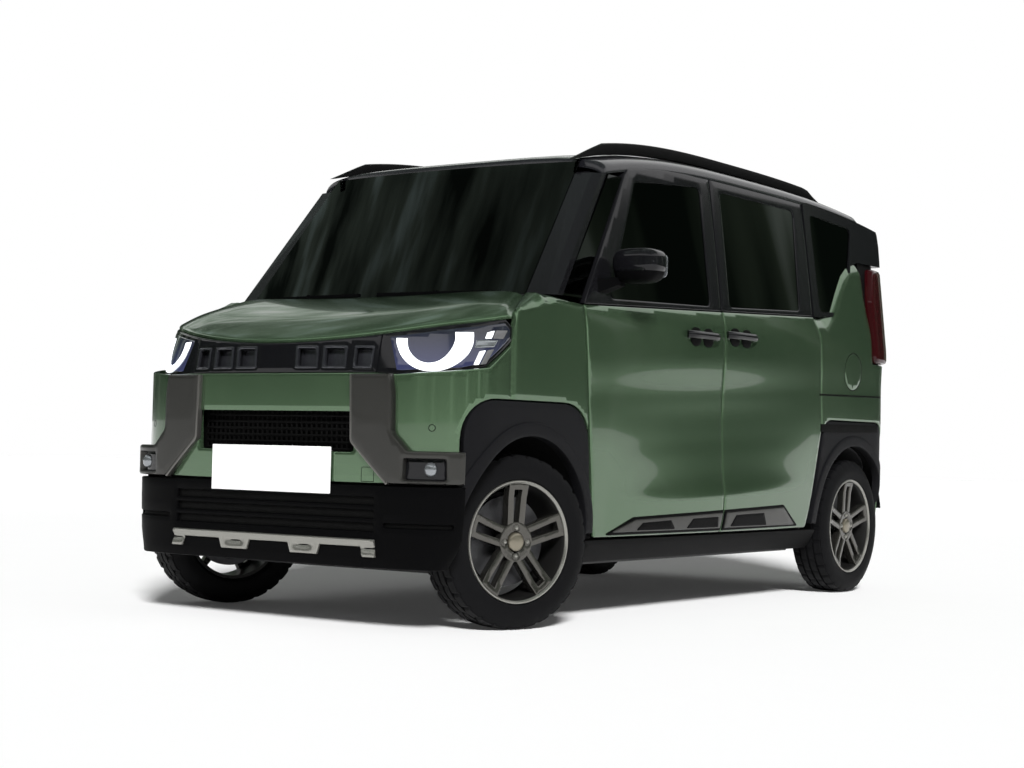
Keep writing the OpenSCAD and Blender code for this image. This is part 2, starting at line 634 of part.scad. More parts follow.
// Guard's outline in front view, a C that turns under the painted corner
GUARD = [[343, 828], [350, 612], [497, 477], [half_w, 477], [half_w, 582], [566, 582], [508, 640],
    [506, 765], [496, 828]];
FOG = [[554, 490], [690, 490], [688, 558], [556, 558]];
guard_round = 8;
fog_depth = 6;
module bumper_guards() color(grey) both_sides() difference() {
    intersection() {
        body_block(0, 0, 0, guard_p);
        along_y(GUARD, front_y - 1, front_axle_y - 280, guard_round);
    }
    body_block(-seam, guard_depth);
    along_y(FOG, front_y - 1, front_axle_y - 200, guard_round);
    cladding_block(front_axle_y, FRONT_CLAD, seam);
}
module fog_lamps() color(silver) both_sides() intersection() {
    difference() {
        body_block(fog_depth, 0, 0, guard_p);
        body_block(-seam, guard_depth);
    }
    along_y(shrunk(FOG, seam), front_y - 1, front_axle_y - 200, guard_round);
}
grille_top_z = lamp_top(0)[1];
slot_depth = 40;
slot_low_z = bumper_top_z + 14;
slot_h = grille_top_z - slot_low_z - 14;
frame_w = 7;
// Columns: inner and outer edge of a slot
SLOTS = [[92, 178], [206, 292], [326, 391]];
function slot_outline(slot, grow) = [[slot[0] - grow, slot_low_z - grow], [slot[1] + grow,
    slot_low_z - grow],
    [slot[1] + grow, slot_low_z + slot_h + grow], [slot[0] - grow, slot_low_z + slot_h + grow]];
module front_grille() color(black) difference() {
    intersection() {
        nose_skin(60);
        along_y([[-grille_half_w, bumper_top_z], [grille_half_w, bumper_top_z], [grille_half_w,
            grille_top_z + 6],
            [0, grille_top_z], [-grille_half_w, grille_top_z + 6]], front_y - 1, front_y + 300);
    }
    both_sides() for (slot = SLOTS) {
        difference() {
            along_y(slot_outline(slot, frame_w), front_y - 1, front_y + 200, frame_w);
            along_y(slot_outline(slot, 0), front_y - 2, front_y + 201);
            nose_block(4);
        }
        difference() {
            along_y(slot_outline(slot, -frame_w), front_y - 1, front_y + 200, frame_w);
            nose_block(slot_depth);
        }
    }
}
module lamp_block(grow) intersection() {
    along_y(concat([[lamp_in_x - grow, bumper_top_z - grow]], [for (q = lamp_low_line) q - [0, grow]],
        [[half_w + 1, bumper_top_z + 30], [half_w + 1, lamp_top(86)[1] + grow]],
        reversed([for (t = [40:4:86]) lamp_top(t) + [0, grow]]),
        [[lamp_in_x - grow, grille_top_z + 6 + grow]]), front_y - 1, front_axle_y);
    across_x([[front_y, 700], [front_axle_y - 242 + grow, 700], [front_axle_y - 242 + grow, bumper_top_z +
        24],
        [fender_front_y - seam + grow, 960], [fender_front_y - seam + grow, 1040], [front_y, 1040]], 300,
            half_w + 10);
}
module headlamps() color("#23262b") both_sides() intersection() {
    nose_skin(70);
    lamp_block(0);
}
// Skid garnish: a bar on four feet. Columns: edges of the gaps between the feet
skid_half = 455;
skid_low_z = 238;
skid_bar_z = 272;
skid_top_z = 298;
SKID_GAPS = [[-404, -214], [-98, 98], [214, 404]];
module skid_garnish() color(silver) difference() {
    intersection() {
        body_block(0, 0, 0, guard_p);
        along_y([[-skid_half, skid_low_z], [skid_half, skid_low_z], [skid_half - 6, skid_top_z],
            [6 - skid_half, skid_top_z]], front_y - 1, front_y + 200);
    }
    body_block(-seam, lower_depth, 0, guard_p);
    for (gap = SKID_GAPS)
        along_y([[gap[0], skid_low_z - 10], [gap[1], skid_low_z - 10], [gap[1] - 12, skid_bar_z],
            [gap[0] + 12, skid_bar_z]], front_y - 1, front_y + 200);
}

// Glass
function screen_point(u, v, depth) = let (x = u * (screen_half_base +
    (screen_half_top - screen_half_base) * v),
    z = screen_base_z + (screen_top_z - screen_base_z) * v) [x, screen_y(x, z) + depth, z];
SCREEN_U = [-1, -0.8, -0.6, -0.4, -0.2, 0, 0.2, 0.4, 0.6, 0.8, 1];
SCREEN_V = [0, 0.5, 1];
module windscreen() color(tint, 0.6) sheet(
    [for (u = SCREEN_U) [for (v = SCREEN_V) screen_point(u, v, 0)]],
    [for (u = SCREEN_U) [for (v = SCREEN_V) screen_point(u, v, glass_t * 1.25)]]);
pillar_d = 81.3;
front_quarter = [[pillar_base[1] + pillar_d, screen_base_z + seam], [fender_rear_y, screen_base_z + seam],
    [door_edge_y(pillar_top_z) - door_gap, pillar_top_z], [pillar_top[1] + pillar_d, pillar_top_z]];
module fixed_glass() color(tint, 0.7) both_sides() {
    side_panel(front_quarter, 5, 5 + glass_t);
    for (window = [sliding_window, quarter_window])
        side_panel(shrunk(window, seam), glass_inset, glass_inset + glass_t, window_round);
}

module sill_covers() color(black) both_sides() difference() {
    side_panel([[front_axle_y + 360, sill_z], [rear_axle_y - 336, sill_z], [rear_axle_y - 336,
        door_bottom_z - door_gap],
        [front_axle_y + 366, door_bottom_z - door_gap]], 0, skin_t);
    arch_cut(rear_axle_y);
}

// Roof rails. The foot of each end lies on the roof
rail_x = roof_half_w - 100;
rail_w = 34;
rail_h = 44;
rail_front_y = front_axle_y + 458;
rail_rear_y = rear_axle_y - 78;
function rail_foot(y) = roof_z(rail_x - rail_w / 2, y) + 0.8;
rail_len = rail_rear_y - rail_front_y;
rail_front_ramp = 190;
rail_rear_ramp = 110;
rail_bar = 24;
function rail_line(y0, y1, n, rise) = [for (k = [0:n]) let (y = y0 + (y1 - y0) * k / n) [y, rail_foot(y) +
    rise]];
rail_top = rail_line(rail_front_y + rail_front_ramp, rail_rear_y - rail_rear_ramp, 8, rail_h);
// The bar stands clear of the roof behind its front foot
rail_slot = concat(rail_line(rail_front_y + 150, rail_front_y + 420, 3, rail_h - rail_bar),
    [[rail_front_y + 470, rail_foot(rail_front_y + 470) + 4], [rail_front_y + 90, rail_foot(rail_front_y +
        90) + 4]]);
module roof_rails() color(black) both_sides() difference() {
    across_x(concat([[rail_front_y, rail_foot(rail_front_y)]], rail_top, [[rail_rear_y,
        rail_foot(rail_rear_y)]],
        reversed(rail_line(rail_front_y + rail_len / 13, rail_rear_y - rail_len / 13, 11, 0))),
        rail_x - rail_w / 2, rail_x + rail_w / 2);
    across_x(rail_slot, 0, half_w);
}

gate_bottom_z = 640;
module rear_bumper() color(paint) difference() {
    intersection() {
        body_skin(0, wall);
        across_x([[rear_axle_y + 180, sill_z], [rear_y + 1, sill_z], [rear_y + 1, quarter_low_z - seam],
            [rear_axle_y + 180, quarter_low_z - seam]], -half_w - 1, half_w + 1);
    }
    box([-gate_edge, rear_y - 200, gate_bottom_z - door_gap], [gate_edge, rear_y + 1, quarter_low_z + 1]);
    both_sides() {
        cladding_block(rear_axle_y, REAR_CLAD, seam);
        arch_cut(rear_axle_y);
    }
}

// Front doors. In front of its hinge a door is only a thin flange
handle_z = 1041;
handle_len = 226;
handle_h = 32;
handle_foot = 26;
handle_out = 26;
handle_t = 12;
cup_r = 60;
cup_depth = 16;
// A bar on two feet, with a round cup behind each half of it
module handle(y, z) translate([side_x(z), y, z]) difference() {
    translate([0, 0, -handle_h / 2]) linear_extrude(handle_h) difference() {
        outline([[-handle_t / 2, 0], [handle_out - 4, 0], [handle_out, 10], [handle_out, handle_len - 10],
            [handle_out - 4, handle_len], [-handle_t / 2, handle_len]], 0);
        outline([[-handle_t, handle_foot], [handle_out - handle_t, handle_foot],
            [handle_out - handle_t, handle_len - handle_foot], [-handle_t, handle_len - handle_foot]], 0);
    }
}
module handle_cups(y, z) for (k = [0.3, 0.7])
    translate([side_x(z) + cup_r - cup_depth, y + handle_len * k, z]) sphere(r = cup_r, $fn = 40);
// Raised garnish along the doors' lower edges, with trapezoid windows.
// Columns: distance from the B line, height
garnish_out = 5;
GARNISH = [[-822, 300], [-645, 360], [512, 392], [668, 300]];
GARNISH_CUTS = [[-560, -330], [-270, -60], [70, 360]];
module garnish(y0, y1) intersection() {
    body_skin(-garnish_out, 4);
    difference() {
        across_x([for (q = GARNISH) [b_line_y + q[0], q[1]]], half_w / 2, half_w + 1);
        for (c = GARNISH_CUTS)
            across_x([[b_line_y + c[0], 314], [b_line_y + c[0] + 34, 350], [b_line_y + c[1] - 34, 350],
                [b_line_y + c[1], 314]], half_w / 2, half_w + 1, 4);
    }
    box([0, y0, 0], [half_w + 1, y1, belt_z]);
}
module hinge_ear(h) {
    cylinder(r = ear_r, h = h, center = true);
    translate([-ear_r, 0, -h / 2]) cube([2 * ear_r, 2 * ear_r, h]);
}
module hinge_bore() cylinder(r = pin_r + run_clear, h = hinge_w + 2 * ear_w + 20, center = true);
module front_door() difference() {
    union() {
        difference() {
            side_panel(door_outline, 0, wall);
            intersection() {
                body_block(flange, 0, 20);
                box([0, front_axle_y, 0], [half_w, door_pin_y + 16, roof_height]);
            }
            across_x(door_window, half_w / 2, half_w + 1, window_round);
            handle_cups(b_line_y - 72 - handle_len, handle_z);
        }
        garnish(front_y, b_line_y - door_gap / 2);
        for (z = DOOR_HINGE_Z) for (s = [-1, 1])
            translate([door_pin_x, door_pin_y, z + s * (hinge_w / 2 + ear_w / 2 + 1)]) hinge_ear(ear_w);
        handle(b_line_y - 72 - handle_len, handle_z);
    }
    for (z = DOOR_HINGE_Z) translate([door_pin_x, door_pin_y, z]) hinge_bore();
}
module door_left() color(paint) front_door();
module door_right() color(paint) mirror([1, 0, 0]) front_door();
module front_door_glass()
    side_panel(shrunk(door_window, seam), glass_inset, glass_inset + glass_t, window_round);
module door_glass_left() color(tint, 0.7) front_door_glass();
module door_glass_right() color(tint, 0.7) mirror([1, 0, 0]) front_door_glass();
mirror_w = 190;
mirror_d = 120;
mirror_h = 126;
mirror_round = 24;
module mirror_unit() difference() {
    union() {
        box([half_w - 40, door_pin_y - 36, belt_z + 44], [half_w + 24, door_pin_y + 28, belt_z + 100]);
        translate([half_w - 8, door_pin_y + 20, belt_z + 84]) hull()
            for (x = [mirror_round, mirror_w - mirror_round]) for (y = [mirror_round,
                mirror_d - mirror_round])
                for (z = [mirror_round, mirror_h - mirror_round]) translate([x, y, z])
                    sphere(r = mirror_round, $fn = 20);
    }
    body_block(-seam);
}
module mirror_left() color(black) mirror_unit();
module mirror_right() color(black) mirror([1, 0, 0]) mirror_unit();
module sliding_doors() color(paint) both_sides() difference() {
    union() {
        difference() {
            side_panel(sliding_outline, 0, wall);
            handle_cups(b_line_y + 10, handle_z + 15);
        }
        garnish(b_line_y + door_gap / 2, rear_y);
        handle(b_line_y + 10, handle_z + 15);
    }
    across_x(sliding_window, half_w / 2, half_w + 1, window_round);
}

// Bonnet and tailgate. Slots in their undersides clear the hinge brackets
module lid_bores(x, y, z) both_sides() translate([x, y, z]) rotate([0, 90, 0]) hinge_bore();
module bonnet() color(paint) difference() {
    union() {
        sheet([for (t = HOOD_T) [for (v = HOOD_V) hood_at(t, v)]],
            [for (t = HOOD_T) [for (v = HOOD_V) hood_at(t, v) - [0, 0, hood_depth(t, v)]]]);
        both_sides() for (s = [-1, 1]) translate([bonnet_hinge_x + s * (hinge_w / 2 + ear_w / 2 + 1),
            bonnet_pin_y, bonnet_pin_z])
            rotate([0, 90, 0]) cylinder(r = ear_r, h = ear_w, center = true);
    }
    both_sides() translate([bonnet_hinge_x, 0, bonnet_pin_z])
        box([-hinge_w / 2 - 1, bonnet_pin_y - 24, -80], [hinge_w / 2 + 1, screen_base_y + 80, knuckle_r +
            1.5]);
    lid_bores(bonnet_hinge_x, bonnet_pin_y, bonnet_pin_z);
}
SPOILER_U = [-1, -0.85, -0.6, -0.3, 0, 0.3, 0.6, 0.85, 1];
SPOILER_V = [0, 0.33, 0.67, 1];
function spoiler_at(u, v) = [u * gate_half, roof_rear_y + door_gap +
    (roof_horn_y - roof_rear_y - door_gap) * v];
gate_window_z = belt_z + 30;
gate_window = [[-gate_half + 90, gate_window_z], [gate_half - 90, gate_window_z],
    [gate_half - 110, shoulder_z - 60], [-gate_half + 110, shoulder_z - 60]];
module tailgate() color(paint) difference() {
    union() {
        intersection() {
            body_skin(0, wall);
            box([-gate_half, roof_rear_y + door_gap, gate_bottom_z], [gate_half, rear_y + 1, shoulder_z +
                20]);
        }
        sheet([for (u = SPOILER_U) [for (v = SPOILER_V) roof_point(spoiler_at(u, v))]],
            [for (u = SPOILER_U) [for (v = SPOILER_V) let (q = spoiler_at(u, v)) [q[0], q[1], shoulder_z +
                4]]]);
    }
    along_y(gate_window, roof_rear_y, rear_y + 1, 2 * window_round);
    both_sides() translate([tailgate_hinge_x, 0, tailgate_pin_z])
        box([-hinge_w / 2 - 1, roof_rear_y, -80], [hinge_w / 2 + 1, tailgate_pin_y + 24, knuckle_r + 1.5]);
    lid_bores(tailgate_hinge_x, tailgate_pin_y, tailgate_pin_z);
}
module tailgate_glass() color(tint, 0.7) intersection() {
    body_skin(glass_inset, glass_inset + glass_t);
    along_y(shrunk(gate_window, seam), roof_rear_y, rear_y + 1, 2 * window_round);
}

// Hinge brackets with their pins, standing on the posts, the aprons and the rear header
hinge_web = knuckle_r - 2;
module pin() {
    cylinder(r = pin_r, h = hinge_w + 2 * ear_w, center = true);
    cylinder(r = knuckle_r, h = hinge_w, center = true);
}
module hinges() color(grey) both_sides() {
    for (z = DOOR_HINGE_Z) {
        translate([door_pin_x, door_pin_y, z]) pin();
        box([post_x + seam, door_pin_y - hinge_web, z - hinge_w / 2 + 1],
            [door_pin_x, door_pin_y + hinge_web, z + hinge_w / 2 - 1]);
    }
    translate([bonnet_hinge_x, bonnet_pin_y, bonnet_pin_z]) rotate([0, 90, 0]) pin();
    box([bonnet_hinge_x - hinge_w / 2 + 1, bonnet_pin_y - hinge_web, apron_z + apron_t + seam],
        [bonnet_hinge_x + hinge_w / 2 - 1, bonnet_pin_y + hinge_web, bonnet_pin_z]);
    translate([tailgate_hinge_x, tailgate_pin_y, tailgate_pin_z]) rotate([0, 90, 0]) pin();
    box([tailgate_hinge_x - hinge_w / 2 + 1, tailgate_pin_y - 3, header_z + header_t + seam],
        [tailgate_hinge_x + hinge_w / 2 - 1, tailgate_pin_y + hinge_web, tailgate_pin_z]);
}

module wipers() color(black) for (side = [-1, 1]) {
    blade = [for (x = [0:50:500]) let (px = side * (40 + x)) [px, screen_base_y - 22 + screen_curve(px)]];
    up_z(concat(blade, reversed([for (q = blade) q + [0, 10]])), screen_base_z + 2, screen_base_z + 14);
    translate([side * 290, screen_base_y - 17 + screen_curve(290), cowl_z + seam]) cylinder(r = 10,
        h = 20 + screen_base_z - cowl_z - 4);
}

// Cabin
dash_profile = [[bulkhead_y + 30 + seam, 700], [bulkhead_y + 30 + seam, 1040], [bulkhead_y + 120, 1070],
    [bulkhead_y + 330, 1040], [bulkhead_y + 350, 980], [bulkhead_y + 200, 760]];
dash_half = post_x - 100;
module dashboard() color(black) across_x(dash_profile, -dash_half, dash_half);
seat_base_h = 180;
seat_round = 36;
seat_lean = 18;
back_len = 500;
back_t = 120;
head_h = 150;
rear_seat_w = 1080;
// Cushion and back from one rounded side profile, with head rests on two stalks each
module seat(w, heads) {
    box([-w / 2 + 30, -300, floor_z + floor_t + seam], [w / 2 - 30, 180, floor_z + floor_t + seat_base_h +
        10]);
    translate([-w / 2, 0, 0]) rotate([90, 0, 90]) linear_extrude(w)
        offset(r = seat_round, $fn = 40) offset(delta = -seat_round) {
            translate([-320, floor_z + floor_t + seat_base_h]) square([520,
                seat_z - floor_z - floor_t - seat_base_h]);
            translate([150, seat_z - 60]) rotate(-seat_lean) square([back_t, back_len]);
        }
    for (x = heads) translate([x, 150, seat_z - 60]) rotate([-seat_lean, 0, 0]) {
        translate([-130, 0, 0]) rotate([90, 0, 90]) linear_extrude(260) offset(r = seat_round, $fn = 40)
            offset(delta = -seat_round) translate([14, back_len + 20]) square([back_t - 28, head_h]);
        for (s = [-50, 50]) translate([s, back_t / 2, back_len - 30]) cylinder(r = 7, h = 60);
    }
}
module front_seats() color("#33322f") both_sides() translate([seat_x, b_line_y - 200, 0]) seat(seat_w, [0]);
module rear_seat() color("#33322f")
    translate([0, c_line_y - 270, 0]) seat(rear_seat_w, [-rear_seat_w / 4, rear_seat_w / 4]);
wheel_tilt = 62;
module steering_wheel() color(black) difference() {
    translate([-seat_x, bulkhead_y + 430, 985]) rotate([-wheel_tilt, 0, 0]) {
        rotate_extrude() translate([wheel_rim_d / 2 - 14, 0]) circle(r = 14, $fn = 32);
        translate([0, 0, -20]) cylinder(r = 60, h = 30);
        for (a = [0, 180, 270]) rotate(a) translate([0, -15, -14]) cube([wheel_rim_d / 2 - 14, 30, 14]);
        translate([0, 0, -200]) cylinder(r = 22, h = 190);
    }
    across_x([for (q = dash_profile) [q[0] + seam * 2, q[1]]], -dash_half - 1, dash_half + 1);
}

// Below the floor
module engine_block() color(grey) box([-leg_x + seam, front_y + 220, leg_z - 30], [leg_x - seam,
    bulkhead_y - 130, 760]);
tank_half = 330;
tank_len = 440;
tank_h = 70;
module fuel_tank() color(black)
    box([-tank_half, c_line_y - 173 - tank_len, floor_z - tank_h], [tank_half, c_line_y - 173,
        floor_z - seam]);
pipe_x = -420;
pipe_z = 190;
muffler_y = rear_y - 275;
module exhaust() color("#8b8b88") {
    translate([pipe_x - 60, muffler_y, 305]) rotate([0, 90, 0]) cylinder(r = 70, h = 320);
    translate([pipe_x, bulkhead_y + 100, pipe_z]) rotate([-90, 0, 0]) cylinder(r = 22,
        h = muffler_y - bulkhead_y - 100);
    translate([pipe_x, muffler_y, pipe_z]) cylinder(r = 22, h = 80);
    translate([pipe_x, muffler_y, pipe_z]) sphere(r = 22);
    for (y = [bulkhead_y + 300, c_line_y - 200]) box([pipe_x - 8, y, pipe_z + 15], [pipe_x + 8, y + 30,
        floor_z - seam]);
    box([pipe_x + 90, muffler_y - 15, 360], [pipe_x + 106, muffler_y + 15, rear_leg_z - seam]);
}
king_x = front_track / 2 - kingpin_offset;
arm_z = axle_z - 124;
strut_x = king_x - 90;
module front_subframe() color(grey) {
    box([-420, front_axle_y - 40, arm_z], [420, front_axle_y + 150, arm_z + 65]);
    both_sides() {
        box([leg_x + 10, front_axle_y, arm_z + 60], [leg_x + leg_w - 10, front_axle_y + 80, leg_z - seam]);
        box([400, front_axle_y - 25, arm_z], [king_x, front_axle_y + 25, arm_z + 30]);
        translate([king_x, front_axle_y, arm_z]) cylinder(r = 25, h = 30);
        translate([king_x, front_axle_y, arm_z]) cylinder(r = kingpin_r, h = 235);
        translate([king_x, front_axle_y, axle_z + 82]) cylinder(r = 18, h = 29);
        box([strut_x, front_axle_y - 16, axle_z + 82], [king_x, front_axle_y + 16, axle_z + 111]);
        translate([strut_x, front_axle_y, axle_z + 82]) cylinder(r = 22, h = apron_z - seam - axle_z - 82);
        translate([strut_x, front_axle_y, axle_z + 320]) cylinder(r = 45, h = 200);
    }
}
spring_x = leg_x + leg_w / 2;
module rear_axle() color(grey) {
    translate([-rear_track / 2, rear_axle_y, axle_z]) rotate([0, 90, 0]) cylinder(r = spindle_r,
        h = rear_track);
    translate([-rear_track / 2 + 90, rear_axle_y, axle_z]) rotate([0, 90, 0]) cylinder(r = 38,
        h = rear_track - 180);
    both_sides() {
        translate([spring_x, rear_axle_y, axle_z]) cylinder(r = 34, h = rear_leg_z - seam - axle_z);
        box([spring_x - 20, c_line_y + seam, axle_z - 20], [spring_x + 20, rear_axle_y, axle_z + 20]);
    }
}

// Wheels, drawn about the Z axis with the outer side up, and then set on their hubs
module wheel_place(side, front) {
    at = front ? [side * king_x, front_axle_y, axle_z] : [side * rear_track / 2, rear_axle_y, axle_z];
    translate(at) rotate(front ? -parked_steer : 0) translate([front ? side * kingpin_offset : 0, 0, 0])
        mirror([side < 0 ? 1 : 0, 0, 0]) rotate([0, 90, 0]) children();
}
bead_r = rim_d / 2 - 8;
module tyre() rotate_extrude($fn = 128) polygon([[bead_r + seam, 16 - tyre_w / 2], [bead_r + 40,
    -tyre_w / 2],
    [tyre_d / 2 - 40, 2 - tyre_w / 2], [tyre_d / 2 - 8, 14 - tyre_w / 2], [tyre_d / 2, 34 - tyre_w / 2],
    [tyre_d / 2, tyre_w / 2 - 34], [tyre_d / 2 - 8, tyre_w / 2 - 14], [tyre_d / 2 - 40, tyre_w / 2 - 2],
    [bead_r + 40, tyre_w / 2], [bead_r + seam, tyre_w / 2 - 16]]);
// Rim with five pairs of spokes. The pairs are drawn flat and trimmed by a dished profile
face_z = tyre_w / 2;
hub_r = 66;
cap_r = 32;
lug_r = 46;
spoke_pitch = 22;
spoke_w = 24;
dish = [[0, face_z - 62], [0, face_z - 32], [hub_r - 8, face_z - 32], [hub_r + 30, face_z - 28],
    [bead_r - 20, face_z - 17], [bead_r - 6, face_z - 22], [bead_r - 6, face_z - 46], [hub_r, face_z - 62]];
module spokes() intersection() {
    rotate_extrude($fn = 128) polygon(dish);
    translate([0, 0, -tyre_w / 2]) linear_extrude(tyre_w) {
        circle(r = hub_r);
        for (k = [0:4]) rotate(180 + 72 * k) for (s = [-1, 1])
            polygon([[20, s * spoke_pitch - spoke_w / 2], [bead_r, s * (spoke_pitch + 6) - spoke_w / 2],
                [bead_r, s * (spoke_pitch + 6) + spoke_w / 2], [20, s * spoke_pitch + spoke_w / 2]]);
    }
}
module rim() difference() {
    union() {
        rotate_extrude($fn = 128) polygon([[bead_r - 14, 18 - tyre_w / 2], [bead_r, 18 - tyre_w / 2],
            [bead_r, tyre_w / 2 - 16 - seam], [bead_r - 6, tyre_w / 2 - 10], [bead_r - 14,
                tyre_w / 2 - 24]]);
        spokes();
        translate([0, 0, -10]) cylinder(r = hub_r - 6, h = face_z - 40);
        cylinder(r = cap_r, h = face_z - 24);
    }
    translate([0, 0, -50]) cylinder(r = spindle_r + run_clear, h = 90);
    for (k = [0:3]) rotate(90 * k) translate([lug_r, 0, face_z - 40]) cylinder(r = 8, h = 30);
}
module wheel_tyre() color(black) tyre();
module wheel_rim() color("#56524c") rim();
module tyre_front_left() wheel_place(1, true) wheel_tyre();
module tyre_front_right() wheel_place(-1, true) wheel_tyre();
module tyre_rear_left() wheel_place(1, false) wheel_tyre();
module tyre_rear_right() wheel_place(-1, false) wheel_tyre();
module rim_front_left() wheel_place(1, true) wheel_rim();
module rim_front_right() wheel_place(-1, true) wheel_rim();
module rim_rear_left() wheel_place(1, false) wheel_rim();
module rim_rear_right() wheel_place(-1, false) wheel_rim();
module knuckle(side) color(grey) wheel_place(side, true) difference() {
    union() {
        translate([0, 0, -kingpin_offset - 20]) cylinder(r = spindle_r, h = kingpin_offset + 50);
        translate([-60, -24, -kingpin_offset - 20]) cube([120, 48, 34]);
        translate([20, -24, -kingpin_offset - 20]) cube([20, 130, 24]);
    }
    translate([0, 0, -kingpin_offset]) rotate([0, 90, 0]) cylinder(r = kingpin_r + run_clear, h = 400,
        center = true);
}
module knuckle_left() knuckle(1);
module knuckle_right() knuckle(-1);

floor_pan();
pillars();
roof_panel();
front_fenders();
quarter_panels();
front_bumper();
lower_bumper();
bumper_guards();
front_grille();
headlamps();
fog_lamps();
skid_garnish();
windscreen();
fixed_glass();
arch_cladding();
sill_covers();
roof_rails();
rear_bumper();
tail_lamps();
sliding_doors();
dashboard();
front_seats();
rear_seat();
steering_wheel();
engine_block();
fuel_tank();
exhaust();
front_subframe();
rear_axle();
hinges();
wipers();
knuckle_left();
knuckle_right();
rim_front_left();
rim_front_right();
rim_rear_left();
rim_rear_right();
tyre_front_left();
tyre_front_right();
tyre_rear_left();
tyre_rear_right();
door_left();
door_right();
door_glass_left();
door_glass_right();
mirror_left();
mirror_right();
bonnet();
tailgate();
tailgate_glass();
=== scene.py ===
import json
import math
import bmesh
import bpy
import numpy as np
from mathutils import Matrix, Vector
from mathutils.geometry import delaunay_2d_cdt


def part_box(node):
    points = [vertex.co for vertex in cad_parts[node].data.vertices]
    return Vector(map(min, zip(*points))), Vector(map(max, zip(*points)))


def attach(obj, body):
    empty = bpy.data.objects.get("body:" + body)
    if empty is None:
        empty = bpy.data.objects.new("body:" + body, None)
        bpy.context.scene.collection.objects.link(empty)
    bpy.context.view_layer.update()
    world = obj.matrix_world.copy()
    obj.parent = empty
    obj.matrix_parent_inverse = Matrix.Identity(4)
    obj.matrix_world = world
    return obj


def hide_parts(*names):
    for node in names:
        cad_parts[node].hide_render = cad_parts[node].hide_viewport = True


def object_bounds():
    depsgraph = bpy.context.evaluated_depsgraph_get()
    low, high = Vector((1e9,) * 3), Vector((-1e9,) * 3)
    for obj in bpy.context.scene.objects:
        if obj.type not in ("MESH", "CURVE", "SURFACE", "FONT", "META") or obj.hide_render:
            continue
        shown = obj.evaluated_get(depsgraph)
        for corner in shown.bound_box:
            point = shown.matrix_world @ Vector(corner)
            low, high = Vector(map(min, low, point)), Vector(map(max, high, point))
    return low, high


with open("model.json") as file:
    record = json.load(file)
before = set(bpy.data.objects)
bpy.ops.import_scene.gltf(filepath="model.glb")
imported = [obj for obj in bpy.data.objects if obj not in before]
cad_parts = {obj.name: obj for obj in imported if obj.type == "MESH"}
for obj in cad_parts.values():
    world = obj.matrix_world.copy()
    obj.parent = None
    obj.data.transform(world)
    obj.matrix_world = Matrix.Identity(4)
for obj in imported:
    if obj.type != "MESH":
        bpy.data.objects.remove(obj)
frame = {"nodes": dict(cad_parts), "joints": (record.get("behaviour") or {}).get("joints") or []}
cad_low, cad_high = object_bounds()
MM = 0.001


def span(node, axis):
    """Lowest and highest coordinate of a CAD node along one axis, in millimetres."""
    low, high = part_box(node)
    return low[axis] / MM, high[axis] / MM


def joint(name):
    return next(j for j in frame["joints"] if j["name"] == name)


# Driving sizes from the frame, in millimetres
HALF_W = span("front_fenders", 0)[1]
FRONT_Y = cad_low[1] / MM
REAR_Y = cad_high[1] / MM
FRONT_AXLE = joint("steer_left")["pos_m"][1] / MM
REAR_AXLE = joint("spin_rear_left")["pos_m"][1] / MM
AXLE_Z = joint("spin_rear_left")["pos_m"][2] / MM
SHOULDER = 1640
ROOF_RISE = 108
ROOF_HALF = HALF_W - 76
BELT = 1100
DOOR_LOW = span("door_left", 2)[0]
B_LINE = (span("door_left", 1)[1] + span("sliding_doors", 1)[0]) / 2
C_LINE = REAR_AXLE - 397
GAP = 8
ARCH_R = 350

# Body surface, the same tables as in the part's source
SIDE = np.array([[190, 72], [300, 15], [450, 3], [700, 0], [1050, 2.5], [BELT + 30, 10], [SHOULDER, 76],
    [1720, 90]])
TAIL = np.array([[190, 60], [300, 30], [420, 0], [700, 0], [900, 8], [1180, 38], [1720, 91]])
FRONT_DEPTH, FRONT_P, GUARD_P = 330, 3.6, 5
REAR_DEPTH, REAR_P = 250, 3.6


def smooth_table(table):
    """Smooth curve through a table's rows, without overshoot."""
    x, y = table[:, 0].astype(float), table[:, 1].astype(float)
    h = np.diff(x)
    slope = np.diff(y) / h
    m = np.concatenate([[slope[0]], np.where(slope[:-1] * slope[1:] > 0,
        2 * slope[:-1] * slope[1:] / (slope[:-1] + slope[1:] + 1e-12), 0), [slope[-1]]])

    def at(v):
        v = np.clip(np.asarray(v, float), x[0], x[-1])
        k = np.clip(np.searchsorted(x, v) - 1, 0, len(h) - 1)
        t = (v - x[k]) / h[k]
        return (y[k] * (1 + 2 * t) * (1 - t) ** 2 + m[k] * h[k] * t * (1 - t) ** 2
                + y[k + 1] * t * t * (3 - 2 * t) + m[k + 1] * h[k] * t * t * (t - 1))
    return at


side_tuck = smooth_table(SIDE)
tail_tuck = smooth_table(TAIL)


